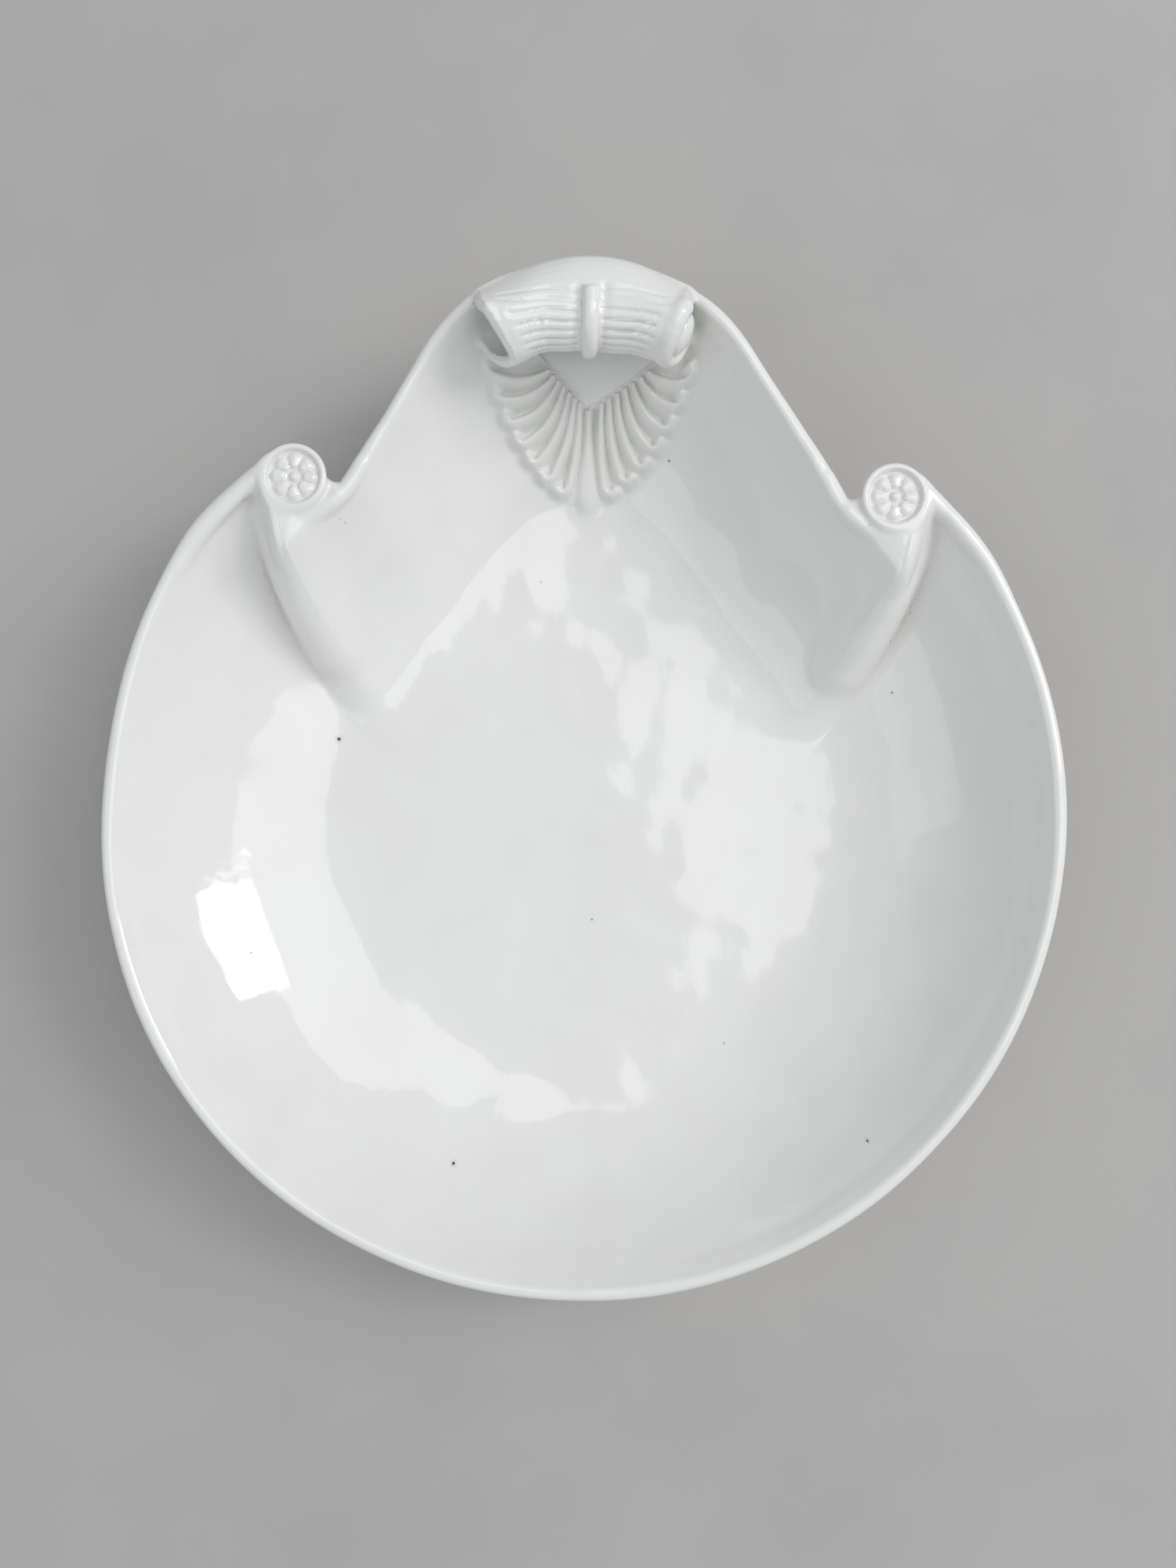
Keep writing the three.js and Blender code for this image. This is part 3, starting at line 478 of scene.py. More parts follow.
def ear_top_height(x, y):
    rho = np.hypot(x - EAR_ACROSS, y - EAR_FORWARD)
    phi = np.arctan2(y - EAR_FORWARD, x - EAR_ACROSS)
    ring = smooth(EAR_RADIUS - EAR_RING - 0.6, EAR_RADIUS - EAR_RING + 0.5, rho)
    share = rho / (EAR_RADIUS - EAR_RING)
    petal = np.abs(np.cos(PETALS * phi / 2)) ** 0.7
    leaf = smooth(0.22, 0.45, share) * (1 - smooth(0.72, 0.98, share + 0.12 * (1 - petal)))
    boss = np.exp(-((share / 0.17) ** 4))
    relief = PETAL_RISE * leaf * mix(0.3, 1, petal) + BOSS_RISE * boss
    return EAR_HEIGHT - EAR_RECESS * (1 - ring) + relief * (1 - ring)


def ear_field(x, y, z):
    return round_cones(x, y, z, ear_line)


def ear_cut(x, y, z, field):
    """Everything within the ear's ring ends at the rosette's surface."""
    rho = np.hypot(x - EAR_ACROSS, y - EAR_FORWARD)
    above = z - ear_top_height(x, y)
    out = smooth_cut(field, above, EAR_SOFTNESS)
    return np.where(rho < EAR_RADIUS + 1.5, out, field)


def ear_lip_field(x, y, z):
    return np.minimum(round_cones(x, y, z, lip_line), round_cones(x, y, z, curl_line))


# %% [markdown]
# ## The handle
# The fan's wall runs on upward, bends back to the hood and rolls over forward: one and a bit turns
# of a thin sheet, fluted on its front, with a round band over its middle. At both ends the lip of
# the dish runs on along the edge of the sheet and winds in with it.


# %% Sizes of the rolled sheet
LINE_TAIL = 14              # points of its line below the roll's top, and of the roll itself
LINE_ROLL = 52
ROLL_RADIUS = 9.2
ROLL_PITCH = 4.4
ROLL_TURN = math.radians(345)
ROLL_SHEET = 3.2
ROLL_EDGE = 2.0
LEFT, RIGHT = -1, 1
END_FLARE = {LEFT: 0.32, RIGHT: 0.17}
END_FORWARD = {LEFT: 2.0, RIGHT: 1.2}
END_DROP = 0.8
SEAT_DEPTH = 1.0            # how deep in the wall the sheet starts
BACK_RISE = (2.8, 0.8)      # how high over the wall's edge it is furthest back: in its middle, at its ends
BACK_PULL = (1.5, 0.2)      # how far below that it already points straight up
LEAN_FORWARD = 0.2
ROUND_BEND = 0.5523         # handles of this length, in radii, make a quarter of a circle
print(f"the roll is {2 * ROLL_RADIUS:.1f} mm thick and {HANDLE_WIDTH} mm wide")


# %% Middle line of the rolled sheet
def sheet_line(u):
    """Its points (y, z, thickness, turn) at a distance u from the handle's middle."""
    x = u + HANDLE_X
    a = math.atan2(x, HOOD_BACK)
    for _ in range(3):
        a = math.atan2(x, float(shell_end(np.array(a))) * math.cos(a))
    end = float(shell_end(np.array(a)))
    seat = np.array([end * math.cos(a), float(shell_mid(np.array(end), np.array(a)))])
    below = float(shell_mid(np.array(end - 0.5), np.array(a)))
    rise = np.array([0.5, seat[1] - below])
    rise /= np.linalg.norm(rise)
    start = seat - rise * SEAT_DEPTH
    flared = float(smooth(8, 20, abs(u))) ** 1.4
    leaned = float(smooth(3, 27, abs(u)))
    side = LEFT if u < 0 else RIGHT
    flare = 1 + END_FLARE[side] * flared
    centre = np.array([ROLL_Y - END_FORWARD[side] * flared, ROLL_Z - END_DROP * flared])
    top_radius = (ROLL_RADIUS - ROLL_SHEET / 2) * flare
    back_y = max(end * math.cos(a) + LIP / 2 - ROLL_SHEET / 2 - LEAN_FORWARD * leaned, centre[0] + 2)
    back = np.array([back_y, seat[1] + mix(*BACK_RISE, leaned)])
    top = centre + [0, top_radius]
    bend = mix(ROUND_BEND, 0.0, leaned)
    lower = (start, start + rise * 3.0, (back_y, back[1] - mix(*BACK_PULL, leaned)), back)
    upper = (back, (back_y, mix(back[1], top[1], bend)), (mix(top[0], back_y, bend), top[1]), top)
    half = LINE_TAIL // 2
    tail = [(*bezier(lower, i / half), mix(WALL - 1.0, ROLL_SHEET, i / half)) for i in range(half)]
    tail += [(*bezier(upper, i / half), ROLL_SHEET) for i in range(half)]
    line = []
    behind = 0.0
    last = top
    for y, z, thick in reversed(tail):
        behind += math.hypot(last[0] - y, last[1] - z)
        last = (y, z)
        line.insert(0, (y, z, thick, -behind / ROLL_RADIUS))
    for i in range(LINE_ROLL + 1):
        turn = ROLL_TURN * i / LINE_ROLL
        radius = top_radius - flare * ROLL_PITCH * turn / TAU
        angle = math.pi / 2 + turn
        line.append((centre[0] + radius * math.cos(angle), centre[1] + radius * math.sin(angle),
                     mix(ROLL_SHEET, ROLL_EDGE, turn / ROLL_TURN), turn))
    return np.array(line)


STATIONS = np.linspace(-32, 32, 33)
sheet_lines = np.array([sheet_line(u) for u in STATIONS])
print(f"{sheet_lines.shape[0]} lines of {sheet_lines.shape[1]} points")

# %% Where the sheet ends on each side
END_EDGE = {LEFT: (19.2, 0.70, 4.2), RIGHT: (17.6, 0.46, 2.4)}  # front, slant backward, spread below
BACK_SPREAD = 1.3
INNER_CUT = {LEFT: 10.0, RIGHT: 1.0}  # how much shorter the innermost turn is


def end_edge(side, y, z, turn):
    """Distance from the handle's middle to the sheet's cut edge."""
    left = side < 0
    front, slant, low = [np.where(left, a, b) for a, b in zip(END_EDGE[LEFT], END_EDGE[RIGHT])]
    reach = np.minimum(y, ROLL_Y) - (ROLL_Y - 9)
    under = (1 - smooth(ROLL_Z - 7, ROLL_Z + 2, z)) * smooth(0.5, 1.5, turn)
    inner = np.where(left, INNER_CUT[LEFT], INNER_CUT[RIGHT]) * smooth(4.1, 5.0, turn)
    return front + slant * reach + low * under - inner + BACK_SPREAD * np.maximum(-turn, 0)


# %% Collars along the cut edges
COLLAR_END = {LEFT: 0.62, RIGHT: 0.9}  # the share of the roll that the collar follows
COLLAR_THICKNESS = {LEFT: (1.5, 0.85), RIGHT: (2.3, 1.9)}  # radius on top and further in
COLLAR_THINS = {LEFT: 1.6, RIGHT: 3.0}
COLLAR_START = 1.0


def sheet_at(u, index):
    """The sheet's point of a number, at a distance u from the handle's middle."""
    place = (u - STATIONS[0]) / (STATIONS[1] - STATIONS[0])
    cell = min(int(place), len(STATIONS) - 2)
    return mix(sheet_lines[cell, index], sheet_lines[cell + 1, index], place - cell)


def collar_line(side):
    line = []
    thick, thin = COLLAR_THICKNESS[side]
    last = int(LINE_TAIL + COLLAR_END[side] * LINE_ROLL)
    for index in range(0, last, 2):
        u = side * 24.0
        for _ in range(4):
            y, z, _, turn = sheet_at(u, index)
            u = side * float(end_edge(side, y, z, turn))
        y, z, _, turn = sheet_at(u, index)
        radius = mix(thick, thin, float(smooth(0, COLLAR_THINS[side], turn)))
        radius = mix(COLLAR_START, radius, float(smooth(-1.5, -0.3, turn)))
        line.append((np.array([u + HANDLE_X, y, z]), radius))
    return line


collars = {side: collar_line(side) for side in (LEFT, RIGHT)}
print("left collar from", np.round(collars[LEFT][0][0], 1), "to", np.round(collars[LEFT][-1][0], 1))


# %% Nearest place on the sheet
def nearest_on_sheet(u, y, z):
    """Distance to the sheet's middle line, and the thickness, the turn and the side there."""
    place = np.clip((u - STATIONS[0]) / (STATIONS[1] - STATIONS[0]), 0, len(STATIONS) - 1.001)
    cell = place.astype(int)
    part = place - cell
    best = np.full(u.shape, 1e9)
    thick = np.zeros(u.shape)
    turn = np.zeros(u.shape)
    outer_side = np.zeros(u.shape, bool)
    for i in range(sheet_lines.shape[1] - 1):
        a = mix(sheet_lines[cell, i].T, sheet_lines[cell + 1, i].T, part)
        b = mix(sheet_lines[cell, i + 1].T, sheet_lines[cell + 1, i + 1].T, part)
        dy, dz = b[0] - a[0], b[1] - a[1]
        t = np.clip(((y - a[0]) * dy + (z - a[1]) * dz) / (dy * dy + dz * dz), 0, 1)
        gap = np.hypot(y - a[0] - t * dy, z - a[1] - t * dz)
        outer = (y - a[0]) * dz - (z - a[1]) * dy
        near = gap < best
        best = np.where(near, gap, best)
        thick = np.where(near, mix(a[2], b[2], t), thick)
        turn = np.where(near, mix(a[3], b[3], t), turn)
        outer_side = np.where(near, outer > 0, outer_side)
    return best, thick, turn, outer_side


# %% Flutes and band on the roll's front
FLUTES = 10
FLUTE_DEPTH = 0.38
FLUTE_START = math.radians(-38)
FLUTE_ARC = math.radians(153)
BAND_WIDTH = 4.0
BAND_RISE = 1.5
BAND_FROM, BAND_TO = (-0.52, -0.34), (2.1, 2.5)  # turns between which the band comes up and goes


def front_relief(u, turn, edge):
    side = np.sign(u)
    wave = 0.035 * np.sin(u / 6.1 + 0.8 * side) + 0.012 * np.sin(u / 2.1 + 3 * turn)
    phase = (turn - FLUTE_START + wave) / FLUTE_ARC
    fade = smooth(0, 0.1, phase) * (1 - smooth(0.92, 1, phase))
    plain = smooth(BAND_WIDTH / 2, BAND_WIDTH / 2 + 1.6, np.abs(u))
    plain = plain * (1 - smooth(-5.5, -2.5, np.abs(u) - edge))
    groove = (0.5 + 0.5 * np.cos(TAU * FLUTES * np.clip(phase, 0, 1))) ** 2
    flute = -FLUTE_DEPTH * groove * plain * fade
    dip = -0.5 * np.exp(-(((np.abs(u) - BAND_WIDTH / 2 - 1.2) / 1.3) ** 2)) * fade
    band = BAND_RISE * np.sqrt(np.clip(1.02 - (u / (BAND_WIDTH / 2)) ** 2, 0, 1))
    band = band * smooth(*BAND_FROM, turn) * (1 - smooth(*BAND_TO, turn))
    return flute + dip + band


# %% The eye that plugs the right end
EYE_CENTRE = (HANDLE_X + 21.9, ROLL_Y - 3.4, ROLL_Z + 0.9)
EYE_HALF = (2.7, 5.4, 5.0)
EYE_SLANT = math.radians(24)


def eye_field(x, y, z):
    dx, dy, dz = x - EYE_CENTRE[0], y - EYE_CENTRE[1], z - EYE_CENTRE[2]
    along = dx * math.cos(EYE_SLANT) - dy * math.sin(EYE_SLANT)
    across = dx * math.sin(EYE_SLANT) + dy * math.cos(EYE_SLANT)
    scaled = np.sqrt((along / EYE_HALF[0]) ** 2 + (across / EYE_HALF[1]) ** 2 + (dz / EYE_HALF[2]) ** 2)
    return (scaled - 1) * EYE_HALF[0]


# %% Distance to the handle
EDGE_SLOPE = 0.55           # how fast the cut edge moves outward, on the whole
COLLAR_FILLET = 1.2
EYE_FILLET = 0.3


def handle_field(x, y, z):
    u = x - HANDLE_X
    best, thick, turn, outer_side = nearest_on_sheet(u, y, z)
    edge = end_edge(np.sign(u), y, z, turn)
    relief = np.where(outer_side, front_relief(u, turn, edge), 0)
    past = (np.abs(u) - edge) / math.hypot(1, EDGE_SLOPE)
    over = best - relief - thick / 2
    sheet = np.where((over > 0) & (past > 0), np.hypot(over, past), np.maximum(over, past))
    for side, line in collars.items():
        near = side * u > 8
        bead = round_cones(x[near], y[near], z[near], line)
        sheet[near] = smooth_union(sheet[near], bead, COLLAR_FILLET)
    near = u > 12
    sheet[near] = smooth_union(sheet[near], eye_field(x[near], y[near], z[near]), EYE_FILLET)
    return sheet


# %% [markdown]
# ## The palmette
# A fan of gadroons, pressed from a small mould and stuck on with slip. Each leaf is a soft ridge
# along a bowed line from the plain pointed field to a bead on the shield's edge, so the relief is
# a height over the wall, worked out from the distance to those lines.

# %% Outline of the palmette and its plain field
PALMETTE_WIDTH = 52.0
PALMETTE_TOP = ROLL_Y - 5.6
PALMETTE_TIP = PALMETTE_TOP - 31.4
PALMETTE_BULGE = 5.3
FIELD_HALF = {LEFT: 11.5, RIGHT: 16.5}  # the field's half widths, unequal as modelled by hand
FIELD_TIP = PALMETTE_TOP - 8.6


def shield_point(share):
    """A point of the shield's edge: 0 is its tip, -1 and 1 are its upper corners."""
    side = 1 if share >= 0 else -1
    corner = np.array([PALMETTE_WIDTH / 2, PALMETTE_TOP])
    tip = np.array([0.0, PALMETTE_TIP])
    chord = np.linalg.norm(corner - tip)
    radius = (chord**2 / 4 + PALMETTE_BULGE**2) / (2 * PALMETTE_BULGE)
    half = math.asin(chord / 2 / radius)
    along = (corner - tip) / chord
    across = np.array([along[1], -along[0]])
    angle = mix(-half, half, abs(share))
    point = (tip + corner) / 2 + along * radius * math.sin(angle)
    point = point + across * (radius * math.cos(angle) - radius + PALMETTE_BULGE)
    return np.array([side * point[0], point[1]])


def field_point(share):
    """A point of the field's lower edge, by the same share."""
    half = FIELD_HALF[LEFT if share < 0 else RIGHT]
    return np.array([share * half, mix(FIELD_TIP, PALMETTE_TOP - 0.5, abs(share))])


print(f"palmette {PALMETTE_WIDTH} mm wide and {PALMETTE_TOP - PALMETTE_TIP:.1f} mm long")

# %% Lines of the leaves
SIDE_LEAVES = 7
FIRST_SHARE = 0.135
LEAF_SPREAD = 0.88
LEAF_BOW = 0.10             # how far a leaf bows inward, as a share of its length
HOOK = 3.0                  # how far a leaf's end curls outward
SIDE_WIDTHS = (0.75, 1.25)  # half widths at the root and at the end
MIDDLE_WIDTHS = (0.9, 2.5)


def leaf_width(number, t):
    if number:
        return mix(*SIDE_WIDTHS, float(smooth(0, 0.5, t)))
    return mix(*MIDDLE_WIDTHS, float(smooth(0.1, 0.9, t)))


def leaf_line(number):
    """Points (x, y, half width) of a leaf. Number 0 is the straight one in the middle."""
    share = 0.0
    if number:
        share = math.copysign(FIRST_SHARE + (abs(number) - 0.45) / SIDE_LEAVES * LEAF_SPREAD, number)
    root, bead = field_point(share * 0.97), shield_point(share)
    side = np.sign(share)
    along = (bead - root) / np.linalg.norm(bead - root)
    outward = np.array([-along[1], along[0]]) * side
    end = bead - along * 1.6 - outward * HOOK * 0.85
    reach = np.linalg.norm(end - root)
    points = []
    for t in np.linspace(0, 1, 7):
        bow = outward * LEAF_BOW * reach * math.sin(math.pi * t) * min(1, 1.6 * abs(share))
        p = mix(root, end, t) - bow
        points.append((p[0], p[1], leaf_width(number, t)))
    if number:
        points.append((*(end + along * 1.2 + outward * 0.7), 1.2))
        points.append((*(bead + along * 0.1 - outward * 0.7), 1.4))
        points.append((*(bead - along * 0.5 + outward * 0.3), 1.6))
    return points


leaf_lines = [leaf_line(number) for number in range(-SIDE_LEAVES, SIDE_LEAVES + 1)]
print(len(leaf_lines), "leaves")

# %% Height of the palmette over the wall
LEAF_RELIEF = 2.2
GROUND_RELIEF = 0.55
FIELD_RELIEF = GROUND_RELIEF + 0.35
FIELD_RIM = 0.7


def palmette_relief(x, y):
    u = x - HANDLE_X
    total = np.zeros(x.shape)
    for points in leaf_lines:
        nearest = np.full(x.shape, 1e9)
        for (ax, ay, aw), (bx, by, bw) in zip(points, points[1:]):
            dx, dy = bx - ax, by - ay
            t = np.clip(((u - ax) * dx + (y - ay) * dy) / (dx * dx + dy * dy), 0, 1)
            nearest = np.minimum(nearest, np.hypot(u - ax - t * dx, y - ay - t * dy) / mix(aw, bw, t))
        leaf = LEAF_RELIEF * np.exp(-((nearest / 1.12) ** 2.2))
        total += leaf**6
    ridge = total ** (1 / 6)
    down = (PALMETTE_TOP - y) / (PALMETTE_TOP - PALMETTE_TIP)
    half = PALMETTE_WIDTH / 2 * np.sqrt(np.clip(1 - np.clip(down, 0, 1) ** 1.5, 0, 1)) - 1.5
    within = (1 - smooth(-1.2, 1.4, np.abs(u) - half)) * (1 - smooth(0.88, 1.0, down))
    field_half = np.where(u < 0, FIELD_HALF[LEFT], FIELD_HALF[RIGHT])
    field_edge = (y - FIELD_TIP) - np.abs(u) * (PALMETTE_TOP - FIELD_TIP) / field_half
    field = smooth(0.0, 0.9, field_edge)
    rim = FIELD_RIM * np.exp(-(((field_edge - 0.7) / 0.7) ** 2))
    relief = mix(GROUND_RELIEF * within + ridge, FIELD_RELIEF, field) + rim * within
    above = 1 - smooth(PALMETTE_TOP + 1, PALMETTE_TOP + 6, y)
    return relief * above


# %% [markdown]
# ## All together
# Foot, ears and handle are worked out only near where they are, to save time. A slow, shallow waviness
# stands for the hand that smoothed the clay: without it the reflections in the glaze are too even.


# %% The whole dish as one function
WAVE = 0.05
FOOT_FILLET = 1.6
LIP_FILLET = 2.2
EAR_FILLETS = (7.0, 1.6)    # low on the wall and at the ring
HANDLE_FILLET = 1.8


def waviness(x, y, z):
    across = np.sin(x / 9.1 + 1.3 * np.sin(y / 13.7))
    along = np.sin(y / 10.3 + 1.1 * np.sin(x / 11.9 + z / 9.0))
    return WAVE * (across + along) * smooth(0.4, 4, z)


def dish_field(x, y, z):
    """How far a point lies outside the porcelain, in millimetres, less than 0 inside it."""
    relief = np.zeros(x.shape)
    beside = np.abs(x - HANDLE_X)
    near = (beside < PALMETTE_WIDTH / 2 + 5) & (y > PALMETTE_TIP - 6) & (y < PALMETTE_TOP + 8)
    relief[near] = palmette_relief(x[near], y[near])
    field = shell_field(x, y, z, relief)
    near = z < FLOOR_HEIGHT + 3
    field[near] = smooth_union(field[near], foot_field(x[near], y[near], z[near]), FOOT_FILLET)
    mirrored = np.abs(x)
    from_ear = np.hypot(mirrored - EAR_ACROSS, y - EAR_FORWARD)
    near = (from_ear < 62) & (z > 4)
    field[near] = smooth_union(field[near], ear_lip_field(mirrored[near], y[near], z[near]), LIP_FILLET)
    fillet = mix(*EAR_FILLETS, smooth(EAR_HEIGHT - 14, EAR_HEIGHT - 3, z[near]))
    field[near] = smooth_union(field[near], ear_field(mirrored[near], y[near], z[near]), fillet)
    near = (from_ear < EAR_RADIUS + 3) & (z > EAR_HEIGHT - 12)
    field[near] = ear_cut(mirrored[near], y[near], z[near], field[near])
    near = (beside < HANDLE_WIDTH / 2 + 12) & (y > ROLL_Y - 16) & (z > ROLL_Z - 18)
    field[near] = smooth_union(field[near], handle_field(x[near], y[near], z[near]), HANDLE_FILLET)
    return field - waviness(x, y, z)


# %% [markdown]
# ## From the function to a mesh
# The space is cut into small cells, finer round the handle and the ears. A cell that the surface
# passes through gets one vertex, and each grid edge that crosses the surface gets one quad. Only
# cells near the surface are worked out. Then every vertex slides along the slope of the function
# until it lies on the surface, so the mesh is as smooth as the formula.


# %% Grid lines
def grid_lines(bands):
    """Lines through bands of (start, end, spacing)."""
    lines = []
    for start, end, spacing in bands:
        count = max(1, round((end - start) / spacing))
        lines.extend(np.linspace(start, end, count, endpoint=False))
    lines.append(bands[-1][1])
    return np.array(lines)


FINE, COARSE = ((0.48, 1.1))
EAR_BAND_Y = 70             # the ears and the handle lie beyond this
LOW_TOP, GRID_TOP = 34.0, 66.0
handle_left, handle_right = HANDLE_X - 31, HANDLE_X + 31
ear_inner, ear_outer = EAR_ACROSS - 12, EAR_ACROSS + 10
edge = RIM_RADIUS + 4
grid_x = grid_lines([
    (-edge, -ear_outer, COARSE), (-ear_outer, -ear_inner, FINE), (-ear_inner, handle_left, COARSE),
    (handle_left, handle_right, FINE), (handle_right, ear_inner, COARSE), (ear_inner, ear_outer, FINE),
    (ear_outer, edge, COARSE)])
grid_y = grid_lines([(-edge, EAR_BAND_Y, COARSE), (EAR_BAND_Y, HOOD_BACK + 4, FINE)])
grid_z = grid_lines([(-2.0, LOW_TOP, FINE * 2.2), (LOW_TOP, GRID_TOP, FINE * 1.2)])
print("grid:", len(grid_x), len(grid_y), len(grid_z))


# %% Helpers for the grid
BLOCK = 4                   # the grid is first tried at every fourth line


def padded_to(lines, step):
    """The lines with a few more at the end, so that their number fits the step."""
    spare = (-(len(lines) - 1)) % step
    gap = lines[-1] - lines[-2]
    return np.append(lines, lines[-1] + gap * np.arange(1, spare + 1))


def evaluate(points, chunk=400_000):
    out = np.empty(len(points))
    for start in range(0, len(points), chunk):
        p = points[start:start + chunk]
        out[start:start + chunk] = dish_field(p[:, 0].copy(), p[:, 1].copy(), p[:, 2].copy())
    return out


# %% Values at the grid points near the surface
grid_x, grid_y, grid_z = [padded_to(g, BLOCK) for g in (grid_x, grid_y, grid_z)]
coarse = [g[::BLOCK] for g in (grid_x, grid_y, grid_z)]
corner = np.stack(np.meshgrid(*coarse, indexing="ij"), -1).reshape(-1, 3)
shape = [len(g) for g in coarse]
value = evaluate(corner).reshape(shape)
reach = BLOCK * COARSE * 1.1 + 1
near = np.abs(value) < reach
blocks = np.zeros([s - 1 for s in shape], bool)
for i in (0, 1):
    for j in (0, 1):
        for k in (0, 1):
            blocks |= near[i:shape[0] - 1 + i, j:shape[1] - 1 + j, k:shape[2] - 1 + k]
wanted = np.zeros([len(grid_x), len(grid_y), len(grid_z)], bool)
bi, bj, bk = np.nonzero(blocks)
for i in range(BLOCK + 1):
    for j in range(BLOCK + 1):
        for k in range(BLOCK + 1):
            wanted[bi * BLOCK + i, bj * BLOCK + j, bk * BLOCK + k] = True
gi, gj, gk = np.nonzero(wanted)
values = np.full(wanted.shape, np.nan, np.float32)
values[gi, gj, gk] = evaluate(np.stack([grid_x[gi], grid_y[gj], grid_z[gk]], -1))
print(f"{len(gi)} of {wanted.size} grid points worked out, {time.time() - started:.0f} s")

# %% Cells that the surface passes through
solid = values < 0
known = ~np.isnan(values)
cells = [n - 1 for n in values.shape]


def corner_view(array, i, j, k):
    return array[i:cells[0] + i, j:cells[1] + j, k:cells[2] + k]


corners = [(i, j, k) for i in (0, 1) for j in (0, 1) for k in (0, 1)]
full = np.zeros(cells, np.int8)
sure = np.ones(cells, bool)
for c in corners:
    full += corner_view(solid, *c)
    sure &= corner_view(known, *c)
crossed = sure & (full > 0) & (full < 8)
ci, cj, ck = np.nonzero(crossed)
cell_number = np.full(cells, -1, np.int32)
cell_number[ci, cj, ck] = np.arange(len(ci))
print(f"{len(ci)} cells on the surface")

# %% One vertex for each of these cells
# It lies in the middle of the places where the surface cuts the cell's edges.
grids = (grid_x, grid_y, grid_z)
sums = np.zeros((len(ci), 3))
counts = np.zeros(len(ci))
index = np.stack([ci, cj, ck], -1)
for axis in range(3):
    for o1 in (0, 1):
        for o2 in (0, 1):
            low = np.zeros(3, int)
            others = [d for d in range(3) if d != axis]
            low[others[0]], low[others[1]] = o1, o2
            high = low.copy()
            high[axis] = 1
            a, b = index + low, index + high
            va = values[a[:, 0], a[:, 1], a[:, 2]].astype(float)
            vb = values[b[:, 0], b[:, 1], b[:, 2]].astype(float)
            cut = (va < 0) != (vb < 0)
            t = np.where(cut, va / np.where(cut, va - vb, 1), 0)
            for d in range(3):
                pa, pb = grids[d][a[:, d]], grids[d][b[:, d]]
                sums[:, d] += np.where(cut, mix(pa, pb, t), 0)
            counts += cut
vertices = sums / counts[:, None]

# %% One quad for each grid edge that crosses the surface
quads = []
for axis in range(3):
    d1, d2 = [d for d in range(3) if d != axis]
    lower = [slice(0, n) for n in values.shape]
    upper = [slice(0, n) for n in values.shape]
    lower[axis] = slice(0, -1)
    upper[axis] = slice(1, None)
    a_in, b_in = solid[tuple(lower)], solid[tuple(upper)]
    ok = known[tuple(lower)] & known[tuple(upper)]
    edges = np.stack(np.nonzero(ok & (a_in != b_in)), -1)
    inner = (edges[:, d1] > 0) & (edges[:, d1] < cells[d1])
    inner &= (edges[:, d2] > 0) & (edges[:, d2] < cells[d2])
    edges = edges[inner]
    ring = []
    for s1, s2 in ((1, 1), (0, 1), (0, 0), (1, 0)):
        e = edges.copy()
        e[:, d1] -= s1
        e[:, d2] -= s2
        ring.append(cell_number[e[:, 0], e[:, 1], e[:, 2]])
    quad = np.stack(ring, -1)
    outward = a_in[edges[:, 0], edges[:, 1], edges[:, 2]]
    flip = outward if axis != 1 else ~outward
    quad[~flip] = quad[~flip][:, ::-1]
    quads.append(quad[(quad >= 0).all(1)])
quads = np.concatenate(quads)
print(f"{len(vertices)} vertices, {len(quads)} quads, {time.time() - started:.0f} s")


# %% Only the outer skin is kept
# Behind each ear the fillets close off a small pocket inside the clay, which is filled in here.
def quad_edges(quads):
    return np.concatenate([quads[:, [0, 1]], quads[:, [1, 2]], quads[:, [2, 3]], quads[:, [3, 0]]])


ends = quad_edges(quads)
part_of = np.arange(len(vertices))
settled = False
while not settled:
    lowest = part_of.copy()
    np.minimum.at(lowest, ends[:, 0], part_of[ends[:, 1]])
    np.minimum.at(lowest, ends[:, 1], part_of[ends[:, 0]])
    lowest = lowest[lowest]
    settled = (lowest == part_of).all()
    part_of = lowest
outer = part_of == np.bincount(part_of).argmax()
new_number = np.cumsum(outer) - 1
quads = new_number[quads[outer[quads[:, 0]]]]
vertices = vertices[outer]
print(f"{(~outer).sum()} vertices of inner pockets left out, {time.time() - started:.0f} s")


# %% Slide the vertices onto the surface
CLOSE = 0.01                # a vertex nearer than this to the surface stays where it is
LONGEST_MOVE = 0.5


def slope_at(points, value):
    step = 0.02
    slope = np.empty_like(points)
    for d in range(3):
        moved = points.copy()
        moved[:, d] += step
        slope[:, d] = (evaluate(moved) - value) / step
    return slope


value = evaluate(vertices)
for _ in range(6):
    away = np.nonzero(np.abs(value) > CLOSE)[0]
    slope = slope_at(vertices[away], value[away])
    move = -value[away, None] * slope / np.maximum((slope**2).sum(1), 0.2)[:, None]
    length = np.linalg.norm(move, axis=1, keepdims=True)
    tried = vertices[away] + move * np.minimum(1, LONGEST_MOVE / np.maximum(length, 1e-9))
    tried_value = evaluate(tried)
    better = np.abs(tried_value) < np.abs(value[away])
    vertices[away[better]] = tried[better]
    value[away[better]] = tried_value[better]
    print(f"{len(away)} vertices moved")
print(f"largest distance from the surface {np.abs(value).max():.3f} mm, {time.time() - started:.0f} s")

